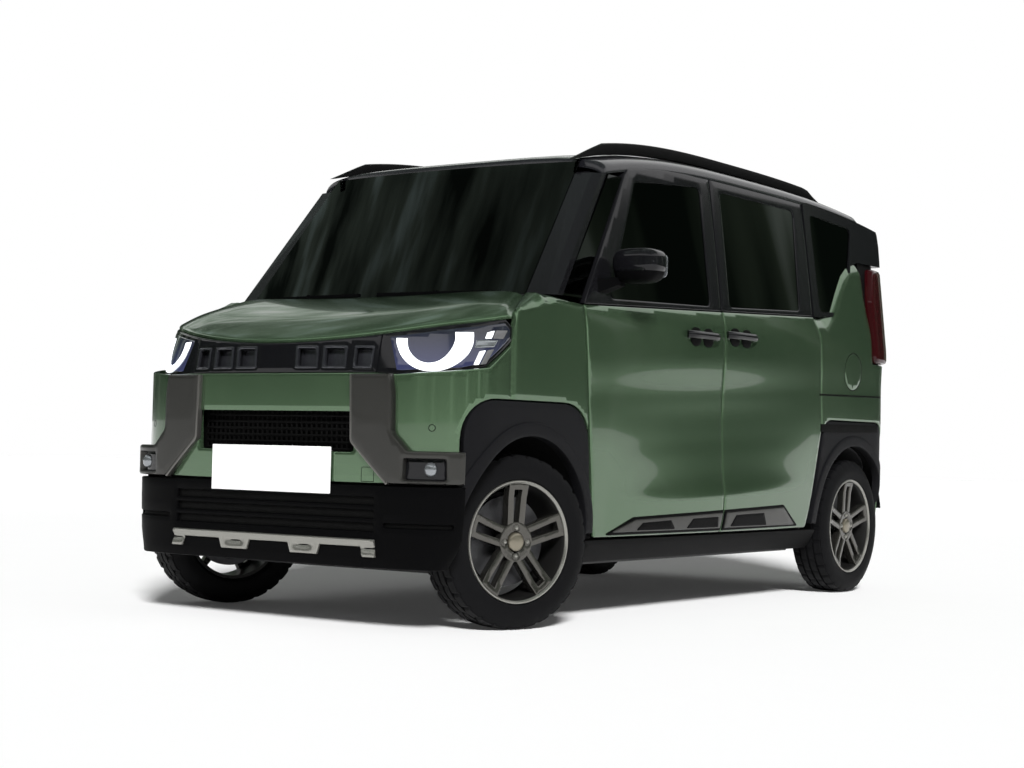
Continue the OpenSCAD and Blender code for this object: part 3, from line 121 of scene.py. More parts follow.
class Plan:
    """The left half of the body's outline from above, by arc length from the nose's middle to the tail's."""

    def __init__(self, setback=0, p=FRONT_P):
        t = np.radians(np.linspace(0, 90, 500))
        fx = HALF_W * np.sin(t) ** (2 / p)
        fy = FRONT_Y + setback + FRONT_DEPTH * (1 - np.cos(t) ** (2 / p))
        rx = HALF_W * np.sin(t) ** (2 / REAR_P)
        ry = REAR_Y - REAR_DEPTH * (1 - np.cos(t) ** (2 / REAR_P))
        self.x = np.concatenate([fx, rx[::-1]])
        self.y = np.concatenate([fy, ry[::-1]])
        step = np.hypot(np.diff(self.x), np.diff(self.y))
        keep = np.concatenate([[True], step > 1e-6])
        self.x, self.y = self.x[keep], self.y[keep]
        self.s = np.concatenate([[0], np.cumsum(np.hypot(np.diff(self.x), np.diff(self.y)))])
        tx, ty = np.gradient(self.x, self.s), np.gradient(self.y, self.s)
        n = np.hypot(tx, ty)
        self.nx, self.ny = ty / n, -tx / n

    def at_x(self, x):
        half = len(self.x) // 2
        return np.interp(x, self.x[:half], self.s[:half])

    def at_y(self, y):
        return np.interp(y, self.y, self.s)

    def surface(self, s, z, depth):
        mirror = np.sign(s) + (s == 0)
        a = np.abs(s)
        x, y = np.interp(a, self.s, self.x), np.interp(a, self.s, self.y)
        nx, ny = np.interp(a, self.s, self.nx), np.interp(a, self.s, self.ny)
        x = x - nx * depth - side_tuck(z) * nx * nx
        y = y - ny * depth - tail_tuck(z) * np.clip(ny, 0, 1) ** 2
        return np.stack([x * mirror, y, z], axis=1)

    def side(self, points):
        """Outline given in side view [y, z, radius] as [arc, z, radius]."""
        return [(float(self.at_y(q[0])), *q[1:]) for q in points]

    def front(self, points):
        """Outline given in front view [x, z, radius] as [arc, z, radius]."""
        return [(float(np.sign(q[0]) * self.at_x(abs(q[0]))), *q[1:]) for q in points]


class Nose:
    """The upright front that carries grille and lamps: it leans back and rounds off from bumper to bonnet."""

    def __init__(self, rows):
        t = np.radians(np.linspace(0, 90, 400))
        self.z = [row[0] for row in rows]
        self.curves = [np.stack([HALF_W * np.sin(t) ** (2 / p),
            FRONT_Y + back + FRONT_DEPTH * (1 - np.cos(t) ** (2 / p))], axis=1)
                       for _, back, p in rows]
        middle = (self.curves[0] + self.curves[1]) / 2
        self.s = np.concatenate([[0], np.cumsum(np.linalg.norm(np.diff(middle, axis=0), axis=1))])
        self.normals = []
        for curve in self.curves:
            tangent = np.gradient(curve, axis=0)
            tangent /= np.linalg.norm(tangent, axis=1)[:, None] + 1e-9
            self.normals.append(np.stack([tangent[:, 1], -tangent[:, 0]], axis=1))

    def blend(self, pair, s, z):
        f = np.clip((z - self.z[0]) / (self.z[1] - self.z[0]), 0, 1)
        low, high = ([np.interp(s, self.s, q[:, k]) for k in (0, 1)] for q in pair)
        return [a * (1 - f) + b * f for a, b in zip(low, high)]

    def surface(self, s, z, depth):
        mirror = np.sign(s) + (s == 0)
        x, y = self.blend(self.curves, np.abs(s), z)
        nx, ny = self.blend(self.normals, np.abs(s), z)
        return np.stack([(x - nx * depth) * mirror, y - ny * depth, z], axis=1)

    def solve(self, value, z, axis):
        f = min(1, max(0, (z - self.z[0]) / (self.z[1] - self.z[0])))
        line = self.curves[0][:, axis] * (1 - f) + self.curves[1][:, axis] * f
        return float(np.interp(value, line, self.s))

    def front(self, points):
        return [(math.copysign(self.solve(abs(q[0]), q[1], 0), q[0]), *q[1:]) for q in points]

    def side(self, points):
        return [(self.solve(q[0], q[1], 1), *q[1:]) for q in points]


BUMPER_TOP, LIP_Z = 832, 470
OUTER = Plan(0)
BUMPER = Plan(14)
GUARDED = Plan(0, GUARD_P)
LOWER = Plan(12, GUARD_P)
NOSE = Nose([(BUMPER_TOP - 20, 18, 2.7), (BELT - 58, 30, 1.85)])


# Outline tools
def rounded(points, radius=0, steps=6):
    """Closed outline with round corners. A third number in a point is that corner's own radius."""
    out = []
    n = len(points)
    for k in range(n):
        a, b, c = (np.array(points[(k + i) % n][:2], float) for i in (-1, 0, 1))
        r = points[k][2] if len(points[k]) > 2 else radius
        u, v = a - b, c - b
        lu, lv = np.linalg.norm(u), np.linalg.norm(v)
        if r <= 0 or lu < 1e-6 or lv < 1e-6:
            out.append(b)
            continue
        u, v = u / lu, v / lv
        half = math.acos(max(-1, min(1, float(u @ v)))) / 2
        if half > 1.5 or half < 0.02:
            out.append(b)
            continue
        d = min(r / math.tan(half), lu * 0.48, lv * 0.48)
        p, q = b + u * d, b + v * d
        for t in np.linspace(0, 1, steps):
            out.append((1 - t) ** 2 * p + 2 * t * (1 - t) * b + t * t * q)
    return np.array(out)


def turned(loop, ccw):
    """Loop in the wanted direction."""
    a = np.roll(loop, -1, axis=0)
    area = np.sum(loop[:, 0] * a[:, 1] - a[:, 0] * loop[:, 1])
    return loop if (area > 0) == ccw else loop[::-1]


def resampled(loop, step):
    """Loop with further points, so that none lie more than a step apart."""
    out = []
    for p, q in zip(loop, np.roll(loop, -1, axis=0)):
        n = max(1, int(np.ceil(np.linalg.norm(q - p) / step)))
        out += [p + (q - p) * k / n for k in range(n)]
    return np.array(out)


def round_loop(radius, u=0.0, w=0.0, steps=40):
    angles = np.linspace(0, 2 * math.pi, steps, endpoint=False)
    return np.array([(u + radius * math.cos(a), w + radius * math.sin(a)) for a in angles])


def with_mirror(half):
    """Outline of both halves from the points of the left one."""
    return half + [(-q[0], *q[1:]) for q in reversed(half)]


def loops(*outlines, radius=0):
    return [rounded(q, radius) for q in outlines]


def shifted(loop, d):
    """Loop moved by d into the material, which lies on its left."""
    a, c = np.roll(loop, 1, axis=0), np.roll(loop, -1, axis=0)
    u, v = loop - a, c - loop
    u /= np.linalg.norm(u, axis=1)[:, None] + 1e-9
    v /= np.linalg.norm(v, axis=1)[:, None] + 1e-9
    n = np.stack([-(u + v)[:, 1], (u + v)[:, 0]], axis=1)
    size = np.linalg.norm(n, axis=1)[:, None] + 1e-9
    return loop + n / size * d / np.clip(size / 2, 0.6, 1)


def inside(points, loop):
    """Which points lie inside a loop."""
    x, y = points[:, 0], points[:, 1]
    hit = np.zeros(len(points), bool)
    for (ax, ay), (bx, by) in zip(loop, np.roll(loop, -1, axis=0)):
        if ay == by:
            continue
        hit ^= ((ay > y) != (by > y)) & (x < (bx - ax) * (y - ay) / (by - ay) + ax)
    return hit


def edge_distance(points, edges):
    """Distance of each point from the nearest of some loops."""
    best = np.full(len(points), 1e9)
    for loop in edges:
        for p, q in zip(loop, np.roll(loop, -1, axis=0)):
            e = q - p
            t = np.clip(((points - p) @ e) / (e @ e + 1e-12), 0, 1)
            best = np.minimum(best, np.linalg.norm(points - p - t[:, None] * e, axis=1))
    return best


# Objects
def to_object(name, vertices, faces, material, body, replaced=(), smooth=42):
    """Object from vertices in millimetres that rides on a body and replaces CAD nodes."""
    mesh = bpy.data.meshes.new(name)
    mesh.from_pydata([tuple(v) for v in np.asarray(vertices) * MM], [], faces)
    mesh.validate()
    bm = bmesh.new()
    bm.from_mesh(mesh)
    bmesh.ops.recalc_face_normals(bm, faces=bm.faces)
    bm.to_mesh(mesh)
    bm.free()
    mesh.polygons.foreach_set("use_smooth", [True] * len(mesh.polygons))
    mesh.set_sharp_from_angle(angle=math.radians(smooth))
    obj = bpy.data.objects.new(name, mesh)
    bpy.context.scene.collection.objects.link(obj)
    obj.data.materials.append(material)
    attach(obj, body)
    if replaced:
        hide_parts(*replaced)
    return obj


def mirrored_mesh(vertices, faces):
    v = np.array(vertices, float)
    v[:, 0] *= -1
    return v, [tuple(reversed(f)) for f in faces]


def joined(*parts):
    vertices, faces, base = [], [], 0
    for v, f in parts:
        vertices.append(np.asarray(v, float))
        faces += [tuple(i + base for i in q) for q in f]
        base += len(v)
    return np.concatenate(vertices), faces


def both(part):
    """A part together with its mirror image."""
    return joined(part, mirrored_mesh(*part))


FLIPS = {"left": lambda part: part, "right": lambda part: mirrored_mesh(*part)}


def panel(surface, loops, depth=0, thick=14, roll=5, cell=24, bulge=None):
    """Sheet with rolled edges that lies on a surface inside an outline with holes."""
    edge = min(cell * 0.7, 16)
    loops = [resampled(turned(np.asarray(lp), k == 0), edge) for k, lp in enumerate(loops)]
    rings = list(loops)
    for d in (0.3 * roll, roll):
        rings += [shifted(lp, d) for lp in loops]
    low, high = loops[0].min(0), loops[0].max(0)
    gx = np.arange(low[0] + cell / 2, high[0], cell)
    gy = np.arange(low[1] + cell / 2, high[1], cell)
    grid = np.array([(x + (cell / 2 if j % 2 else 0), y) for j, y in enumerate(gy) for x in gx]).reshape(-1,
        2)

    def within(p):
        ok = inside(p, loops[0])
        for lp in loops[1:]:
            ok &= ~inside(p, lp)
        return ok
    grid = grid[within(grid)]
    grid = grid[edge_distance(grid, loops) > roll + cell * 0.35]
    ringed = np.concatenate(rings[len(loops):])
    ringed = ringed[within(ringed)]
    points = np.concatenate([np.concatenate(loops), ringed, grid])
    edges, base = [], 0
    for lp in loops:
        edges += [(base + k, base + (k + 1) % len(lp)) for k in range(len(lp))]
        base += len(lp)
    cdt = delaunay_2d_cdt([Vector(p) for p in points], edges, [], 0, 1e-4)
    flat = np.array([tuple(v) for v in cdt[0]])
    middle = np.array([flat[list(f)].mean(0) for f in cdt[2]])
    tris = [f for f, ok in zip(cdt[2], within(middle)) if ok]
    turn = []
    for f in tris:
        a, b, c = flat[f[0]], flat[f[1]], flat[f[2]]
        area = (b[0] - a[0]) * (c[1] - a[1]) - (b[1] - a[1]) * (c[0] - a[0])
        if abs(area) > 1e-3:
            turn.append(tuple(f) if area > 0 else tuple(reversed(f)))
    d = np.clip(edge_distance(flat, loops), 0, roll)
    sink = roll - np.sqrt(np.clip(roll ** 2 - (roll - d) ** 2, 0, None))
    base_depth = depth + sink
    if bulge is not None:
        base_depth = base_depth - bulge(flat[:, 0], flat[:, 1])
    top = surface(flat[:, 0], flat[:, 1], base_depth)
    low = surface(flat[:, 0], flat[:, 1], np.full(len(flat), depth + thick + roll, float))
    n = len(flat)
    used = {}
    for f in turn:
        for k in range(3):
            used[(f[k], f[(k + 1) % 3])] = True
    rim = [(a, b) for a, b in used if (b, a) not in used]
    faces = turn + [tuple(n + i for i in reversed(f)) for f in turn]
    faces += [(b, a, n + a, n + b) for a, b in rim]
    return np.concatenate([top, low]), faces


def sheets(name, surface, outlines, mat, replaced=(), twin=True, **form):
    """Object on the body made of sheets on one surface, mirrored to the other side for a twin."""
    part = joined(*[panel(surface, outline, **form) for outline in outlines])
    return to_object(name, *(both(part) if twin else part), mat, "body", replaced)


def grid_sheet(rows, thick_dir, thick=8):
    """Closed sheet from rows of points, thickened along a direction."""
    rows = np.asarray(rows, float)
    nu, nv = rows.shape[:2]
    top = rows.reshape(-1, 3)
    low = top + np.asarray(thick_dir, float) * thick
    n = nu * nv
    faces = []
    for u in range(nu - 1):
        for v in range(nv - 1):
            a = u * nv + v
            faces.append((a, a + 1, a + nv + 1, a + nv))
            faces.append((n + a, n + a + nv, n + a + nv + 1, n + a + 1))
    for u in range(nu - 1):
        a, b = u * nv, u * nv + nv - 1
        faces += [(a, a + nv, n + a + nv, n + a), (b, n + b, n + b + nv, b + nv)]
    for v in range(nv - 1):
        b = (nu - 1) * nv + v
        faces += [(v, n + v, n + v + 1, v + 1), (b, b + 1, n + b + 1, n + b)]
    return np.concatenate([top, low]), faces


def revolved(profile, steps=96, wobble=None):
    """Closed ring about X from a closed profile of [radius, x]."""
    profile = np.asarray(profile, float)
    n = len(profile)
    points, faces = [], []
    for k in range(steps):
        a = 2 * math.pi * k / steps
        r = profile[:, 0] + (wobble(k, profile) if wobble is not None else 0)
        points.append(np.stack([profile[:, 1], r * math.cos(a), r * math.sin(a)], axis=1))
        for i in range(n):
            j, m = (i + 1) % n, (k + 1) % steps
            faces.append((k * n + i, k * n + j, m * n + j, m * n + i))
    return np.concatenate(points), faces


def solid_box(low, high, bevel=3.0):
    """Box with chamfered edges."""
    low, high = np.array(low, float), np.array(high, float)
    b = min(bevel, *(0.45 * (high - low)))
    points, faces = [], []
    for axis in range(3):
        for end in (0, 1):
            u, v = (axis + 1) % 3, (axis + 2) % 3
            for su, sv in ((0, 0), (1, 0), (1, 1), (0, 1)):
                p = np.zeros(3)
                p[axis] = (low, high)[end][axis]
                p[u] = low[u] + b if su == 0 else high[u] - b
                p[v] = low[v] + b if sv == 0 else high[v] - b
                points.append(p)
    return hull_of(points)


def hull_of(points):
    """Convex hull as vertices and faces."""
    bm = bmesh.new()
    for p in points:
        bm.verts.new(p)
    found = bmesh.ops.convex_hull(bm, input=bm.verts)
    loose = [g for g in found["geom_interior"] + found["geom_unused"] if isinstance(g, bmesh.types.BMVert)]
    bmesh.ops.delete(bm, geom=list(set(loose)), context="VERTS")
    bmesh.ops.dissolve_limit(bm, angle_limit=0.01, verts=bm.verts, edges=bm.edges)
    bm.verts.index_update()
    out = [tuple(v.co) for v in bm.verts], [tuple(v.index for v in f.verts) for f in bm.faces]
    bm.free()
    return out


def ring_faces(rings, n):
    """Faces from each ring of n points to the next, with both ends closed."""
    faces = []
    for i in range(rings - 1):
        for k in range(n):
            j = (k + 1) % n
            faces.append((i * n + k, i * n + j, (i + 1) * n + j, (i + 1) * n + k))
    return faces + [tuple(reversed(range(n))), tuple((rings - 1) * n + k for k in range(n))]


def superbox(centre, half, power=4.0, steps=28):
    """Pillow-like box: a superellipsoid."""
    def bent(value):
        return np.sign(value) * abs(value) ** (2 / power)

    points = []
    for i in range(1, steps):
        lat = math.pi * (i / steps - 0.5)
        for k in range(2 * steps):
            lon = math.pi * k / steps
            ball = (bent(math.cos(lat)) * bent(math.cos(lon)), bent(math.cos(lat)) * bent(math.sin(lon)),
                    bent(math.sin(lat)))
            points.append([c + h * b for c, h, b in zip(centre, half, ball)])
    return np.array(points), ring_faces(steps - 1, 2 * steps)


def tube(path, radius, steps=12):
    """Tube along a path of points."""
    path = np.asarray(path, float)
    tangent = np.gradient(path, axis=0)
    tangent /= np.linalg.norm(tangent, axis=1)[:, None]
    up = np.array([0.0, 0.0, 1.0]) if abs(tangent[0][2]) < 0.9 else np.array([0.0, 1.0, 0.0])
    points = []
    for p, t in zip(path, tangent):
        u = np.cross(up, t)
        u /= np.linalg.norm(u)
        v = np.cross(t, u)
        for k in range(steps):
            a = 2 * math.pi * k / steps
            points.append(p + radius * (math.cos(a) * u + math.sin(a) * v))
    return np.array(points), ring_faces(len(path), steps)


# Materials
def new_material(name):
    mat = bpy.data.materials.new(name)
    mat.use_nodes = True
    return mat, mat.node_tree


def settle(node, **values):
    """Set a node's inputs to values or to outputs. The name of an input has _ for each space."""
    for key, value in values.items():
        socket = node.inputs[key.replace("_", " ")]
        if isinstance(value, bpy.types.NodeSocket):
            node.id_data.links.new(value, socket)
        else:
            socket.default_value = value
    return node


def add(tree, kind, out, **values):
    """One output of a new node whose inputs are set."""
    return settle(tree.nodes.new("ShaderNode" + kind), **values).outputs[out]


def blend(tree, share, low, high):
    """Output of a new node that mixes two colours, or an output and a colour."""
    mix = tree.nodes.new("ShaderNodeMix")
    mix.data_type = "RGBA"
    low = low if isinstance(low, bpy.types.NodeSocket) else (*low, 1)
    return settle(mix, Factor=share, A=low, B=(*high, 1)).outputs["Result"]


def material(name, colour, rough, metallic=0.0, coat=0.0, second=None, scale=900, variation=0.25,
             bump=0.0, bump_scale=2500, facing=None, specular=0.5):
    """Principled material whose colour, roughness and relief vary by noise in object coordinates."""
    mat, tree = new_material(name)
    place = add(tree, "TexCoord", "Object")
    noise = add(tree, "TexNoise", "Fac", Vector=place, Scale=scale, Detail=3)
    paint = blend(tree, noise, colour, second or [c * (1 - variation) for c in colour])
    if facing is not None:
        paint = blend(tree, add(tree, "LayerWeight", "Facing", Blend=0.35), paint, facing)
    shine = add(tree, "MapRange", "Result", Value=noise, To_Min=rough * 0.85, To_Max=min(1, rough * 1.15))
    shader = settle(tree.nodes["Principled BSDF"], Base_Color=paint, Roughness=shine, Metallic=metallic,
                    Coat_Weight=coat, Coat_Roughness=0.03, Specular_IOR_Level=specular)
    if bump:
        grain = add(tree, "TexNoise", "Fac", Vector=place, Scale=bump_scale, Detail=2)
        settle(shader, Normal=add(tree, "Bump", "Normal", Height=grain, Strength=bump, Distance=0.001))
    return mat


def glass_material(name, tint):
    """Tinted pane: it dims what lies behind and reflects by angle."""
    mat, tree = new_material(name)
    tree.nodes.remove(tree.nodes["Principled BSDF"])
    noise = add(tree, "TexNoise", "Fac", Vector=add(tree, "TexCoord", "Object"), Scale=2.5)
    through = add(tree, "BsdfTransparent", "BSDF", Color=blend(tree, noise, tint, [c * 0.8 for c in tint]))
    gloss = add(tree, "BsdfGlossy", "BSDF", Roughness=0.02, Color=(0.75, 0.8, 0.78, 1))
    mix = tree.nodes.new("ShaderNodeMixShader")
    for socket, source in zip(mix.inputs, (add(tree, "Fresnel", "Fac", IOR=1.45), through, gloss)):
        tree.links.new(source, socket)
    settle(tree.nodes["Material Output"], Surface=mix.outputs["Shader"])
    return mat


def lit_material(name, colour, strength):
    mat = material(name, colour, 0.2, scale=60, variation=0.06)
    settle(mat.node_tree.nodes["Principled BSDF"], Emission_Color=(*colour, 1), Emission_Strength=strength)
    return mat


def painted_glow_material(name, low_colour, high_colour, low_z, high_z):
    """Clear lamp cover: a painted glow that fades from the lamp's foot to its top under a glossy coat."""
    mat = material(name, high_colour, 0.12, coat=1.0, scale=80)
    tree = mat.node_tree
    height = add(tree, "SeparateXYZ", "Z", Vector=add(tree, "TexCoord", "Object"))
    share = add(tree, "MapRange", "Result", Value=height, From_Min=low_z, From_Max=high_z)
    glow = blend(tree, share, low_colour, high_colour)
    settle(tree.nodes["Principled BSDF"], Emission_Color=glow, Emission_Strength=0.8)
    return mat


GREEN = material("paint_green", (0.098, 0.168, 0.092), 0.17, metallic=0.78, coat=0.7,
    second=(0.114, 0.188, 0.106), scale=2600, facing=(0.042, 0.078, 0.042))
SATIN_BLACK = material("satin_black", (0.006, 0.006, 0.007), 0.16, scale=40, variation=0.2, specular=0.3)
GLOSS_BLACK = material("gloss_black", (0.005, 0.005, 0.006), 0.08, coat=0.15, scale=40, variation=0.2,
    specular=0.3)
# Near black for real slots, grooves, rings, mesh and liners, and also for sheets and blobs of painted shade
BLACK_AND_SHADE = material("black_and_painted_shade", (0.003, 0.003, 0.003), 0.7, scale=60, variation=0.3, specular=0.1)
ROOF_BLACK = material("roof_black", (0.008, 0.008, 0.010), 0.20, coat=0.3, scale=30, variation=0.2)
PLASTIC = material("black_plastic", (0.0018, 0.0018, 0.002), 0.46, bump=0.22, bump_scale=1400,
    specular=0.04)
CLADDING = material("cladding_plastic", (0.0065, 0.0065, 0.0075), 0.50, bump=0.15, bump_scale=1400,
    specular=0.10)
RUBBER = material("tyre_rubber", (0.0045, 0.0045, 0.005), 0.62, bump=0.15, bump_scale=900, specular=0.10)
GUNMETAL = material("gunmetal", (0.058, 0.057, 0.053), 0.36, metallic=0.75, coat=0.2, scale=1500)
# Lighter copy of the gunmetal: a painted highlight for the guard's inner chamfer
GUNMETAL_HIGHLIGHT = material("gunmetal_painted_highlight", (0.165, 0.160, 0.150), 0.30, metallic=0.8, coat=0.3, scale=1500)
RIM = material("rim_metal", (0.120, 0.115, 0.104), 0.22, metallic=0.92, coat=0.3, scale=1800)
# Much darker copy of the rim metal for the barrel and the hub's back: painted shade behind the spokes
RIM_SHADE = material("rim_barrel", (0.020, 0.0195, 0.019), 0.38, metallic=0.6, scale=900)
BRONZE = material("cap_bronze", (0.30, 0.27, 0.21), 0.30, metallic=0.85, coat=0.3, scale=400)
SILVER = material("silver_trim", (0.36, 0.355, 0.325), 0.28, metallic=0.85, coat=0.2, scale=1200)
STEEL = material("coated_steel", (0.10, 0.10, 0.105), 0.42, metallic=0.8, scale=120, bump=0.05)
PRIMER = material("dark_underbody", (0.016, 0.016, 0.017), 0.60, scale=60, bump=0.1, bump_scale=400)
FABRIC = material("seat_fabric", (0.030, 0.030, 0.031), 0.85, scale=500, bump=0.5, bump_scale=1800)
CAST = material("cast_engine", (0.20, 0.20, 0.205), 0.50, metallic=0.7, scale=80, bump=0.2, bump_scale=300)
GLASS = glass_material("tinted_glass", (0.050, 0.056, 0.054))
SCREEN_GLASS = glass_material("screen_glass", (0.12, 0.13, 0.125))
LAMP_WHITE = lit_material("lamp_white", (0.93, 0.96, 1.0), 1.0)
LAMP_PALE = lit_material("lamp_pale", (0.80, 0.82, 0.84), 0.55)
LAMP_GREY = material("lamp_grey", (0.17, 0.17, 0.175), 0.35, metallic=0.5, coat=0.6, scale=300)
# Painted glow for the lamp's inside: violet at its foot, near black at its top
LAMP_PAINTED_GLOW = painted_glow_material("lamp_painted_glow", (0.050, 0.056, 0.150), (0.008, 0.009, 0.015), 0.845, 0.965)
LAMP_DULL = material("lamp_reflector", (0.34, 0.36, 0.38), 0.18, metallic=0.8, coat=0.6, scale=300)
LAMP_RED = material("lamp_red", (0.022, 0.002, 0.003), 0.12, coat=0.2, scale=200, specular=0.3)
FRAME_GREY = material("grille_frame", (0.050, 0.052, 0.060), 0.20, metallic=0.7, coat=0.5, scale=200)
PLATE = material("blank_plate", (0.86, 0.86, 0.86), 0.45, scale=300, variation=0.04)


# Side outlines in side view [y, z]
DOOR_EDGE = np.array([[DOOR_LOW, 410], [360, 380], [776, 340], [BELT, 303], [SHOULDER - 30, 660]])
REAR_EDGE = np.array([[DOOR_LOW, -48], [696, 62], [1102, 34], [1177, 0], [SHOULDER + 30, -3]])
ROOF_PEAK = FRONT_AXLE + 1572
ROOF_FRONT = FRONT_AXLE + 452
ROOF_HORN = REAR_Y - 88
GATE_EDGE_Y = REAR_Y - 280
SCREEN_Y, SCREEN_Z = FRONT_AXLE + 37, BELT + 22
SCREEN_TOP = SHOULDER - 4
SCREEN_BOW, SCREEN_HALF, SCREEN_HALF_TOP = 60, HALF_W - 113, ROOF_HALF - 95


def door_edge(z):
    return FRONT_AXLE + np.interp(z, DOOR_EDGE[:, 0], DOOR_EDGE[:, 1])


def waist(y):
    return BELT + 0.045 * (y - door_edge(BELT))


def roof_fall(y):
    front = 80 * np.clip((ROOF_PEAK - y) / (ROOF_PEAK - ROOF_FRONT - 70), 0, None) ** 2.9
    rear = 58 * np.clip((y - ROOF_PEAK) / (ROOF_HORN - ROOF_PEAK), 0, None) ** 2.9
    return front + rear


def roof_z(x, y):
    u = np.clip(np.abs(x) / ROOF_HALF, 0, 1)
    return SHOULDER - roof_fall(y) + ROOF_RISE * (1 - u ** 4) ** 0.25


def roof_under(y):
    return roof_z(0.99 * ROOF_HALF, y) - 6


def screen_y(x, z):
    return (SCREEN_Y + (z - SCREEN_Z) * (ROOF_FRONT - SCREEN_Y) / (SCREEN_TOP - SCREEN_Z)
            + SCREEN_BOW * (x / SCREEN_HALF) ** 2)


def roof_line(y0, y1, n, lower):
    return [(y, float(roof_under(y)) - lower) for y in np.linspace(y0, y1, n)]


FRAME_IN = 3
door_back = B_LINE - GAP / 2
slide_front = B_LINE + GAP / 2
lower_door = OUTER.side([(door_edge(DOOR_LOW), DOOR_LOW, 14), (door_edge(360), 360), (door_edge(776), 776),
    (door_edge(BELT), BELT, 10), (door_back, waist(door_back), 6), (door_back, DOOR_LOW, 10)])
upper_door = OUTER.side([(door_edge(BELT) + 4, BELT + 3, 6), (door_edge(SHOULDER - 40), SHOULDER - 40, 30)]
    + roof_line(door_edge(SHOULDER) + 20, door_back, 6, GAP) + [(door_back, waist(door_back) + 3)])
CARD_IN = 110
door_card = OUTER.side([(door_edge(DOOR_LOW) + CARD_IN - 60, DOOR_LOW + 30, 30),
    (door_edge(776) + CARD_IN, 776), (door_edge(BELT) + CARD_IN, BELT - 8, 10),
    (door_back - 14, waist(door_back) - 8, 6), (door_back - 14, DOOR_LOW + 30, 30)])
WIN_R = 26
door_window = OUTER.side([(door_edge(BELT) + 175, waist(-740) + 26, 20),
    (B_LINE - 86, waist(0) + 20, WIN_R), (B_LINE - 86, roof_under(0) - GAP - 48, WIN_R),
    (door_edge(SHOULDER - 40) + 70, roof_under(-490) - GAP - 48, 34)])
slide_rear = [(C_LINE + r[1], r[0]) for r in REAR_EDGE]
lower_slide = OUTER.side([(slide_front, DOOR_LOW, 10), (slide_front, waist(slide_front), 6),
    (slide_rear[3][0] - 2, waist(C_LINE), 6), (*slide_rear[2], 20), (*slide_rear[1], 40),
    (slide_rear[0][0], DOOR_LOW, 14)])
upper_slide = OUTER.side([(slide_front, waist(slide_front) + 3)]
    + roof_line(slide_front, C_LINE - 3, 6, GAP) + [(C_LINE - 2, waist(C_LINE) + 3)])
slide_window = OUTER.side([(B_LINE + 70, waist(110) + 22, WIN_R), (C_LINE - 120, waist(740) + 24, WIN_R),
    (C_LINE - 90, roof_under(750) - GAP - 48, WIN_R), (B_LINE + 78, roof_under(110) - GAP - 48, WIN_R)])

# Relief of the side by distance below the waist, in millimetres
SHOULDER_RELIEF = np.array([[0, 0], [66, 6.5], [80, 7], [170, 6], [330, 0], [400, 0]])
HOLLOW = np.array([[170, 0], [330, -4], [400, -5.5], [480, -4], [560, 0.5], [620, 5], [660, 9.5], [695, 15],
    [725, 18], [760, 18], [840, 12]])
HOLLOW_Y, HOLLOW_HALF = B_LINE - 20, 800
shoulder_at, hollow_at = smooth_table(SHOULDER_RELIEF), smooth_table(HOLLOW)


def door_crease(s, z):
    """Relief of the side: a tilted shoulder under the waist, and a long hollow across both doors."""
    y = np.interp(s, OUTER.s, OUTER.y)
    below = waist(y) - z
    return shoulder_at(below) + hollow_at(below) * np.clip(1 - ((y - HOLLOW_Y) / HOLLOW_HALF) ** 2, 0, 1)


# Claddings in side view: distance from the axle, height and corner radius
CLAD_LOW, LIP_W = 300, 46
fender_back = [float(door_edge(z)) - GAP - FRONT_AXLE for z in (640, 360)]
FRONT_CLAD = [(-338, CLAD_LOW), (-338, 752, 135), (fender_back[0] - 6, 752, 170), (fender_back[1], 360),
    (fender_back[1], CLAD_LOW)]
REAR_CLAD = [(-402, CLAD_LOW), (-300, 744, 80), (318, 744, 120), (330, 420), (330, CLAD_LOW)]


def clad_curve(y, table, grow=0.0):
    """Outer edge of a cladding from its front foot to its rear foot, in side view."""
    loop = resampled(turned(rounded([(y + q[0], *q[1:]) for q in table], 0, 10), True), 12)
    loop = shifted(loop, -grow)
    start = np.argmin(np.hypot(loop[:, 0] - y - table[-1][0], loop[:, 1] - CLAD_LOW))
    loop = np.roll(loop, -start, axis=0)
    return [tuple(q) for q in loop[::-1] if q[1] > CLAD_LOW + 20]


front_edge = clad_curve(FRONT_AXLE, FRONT_CLAD, 4)
rear_edge = clad_curve(REAR_AXLE, REAR_CLAD, 4)

# Front doors and sliding doors
for side_name, flip in FLIPS.items():
    body = "door_" + side_name
    skin = flip(panel(OUTER.surface, loops(lower_door), thick=6, cell=14, bulge=door_crease))
    to_object("door_skin_" + side_name, *skin, GREEN, body, ["door_" + side_name])
    card = flip(panel(OUTER.surface, loops(door_card), depth=8, thick=28, roll=4, cell=30))
    to_object("door_card_" + side_name, *card, PLASTIC, body)
    upper = flip(panel(OUTER.surface, loops(upper_door, door_window), depth=FRAME_IN, thick=30, roll=4))
    to_object("door_frame_" + side_name, *upper, SATIN_BLACK, body)

sheets("sliding_skins", OUTER.surface, [loops(lower_slide)], GREEN, ["sliding_doors"], thick=30, cell=14,
    bulge=door_crease)
sheets("sliding_frames", OUTER.surface, [loops(upper_slide, slide_window)], SATIN_BLACK, depth=FRAME_IN,
    thick=30, roll=4)

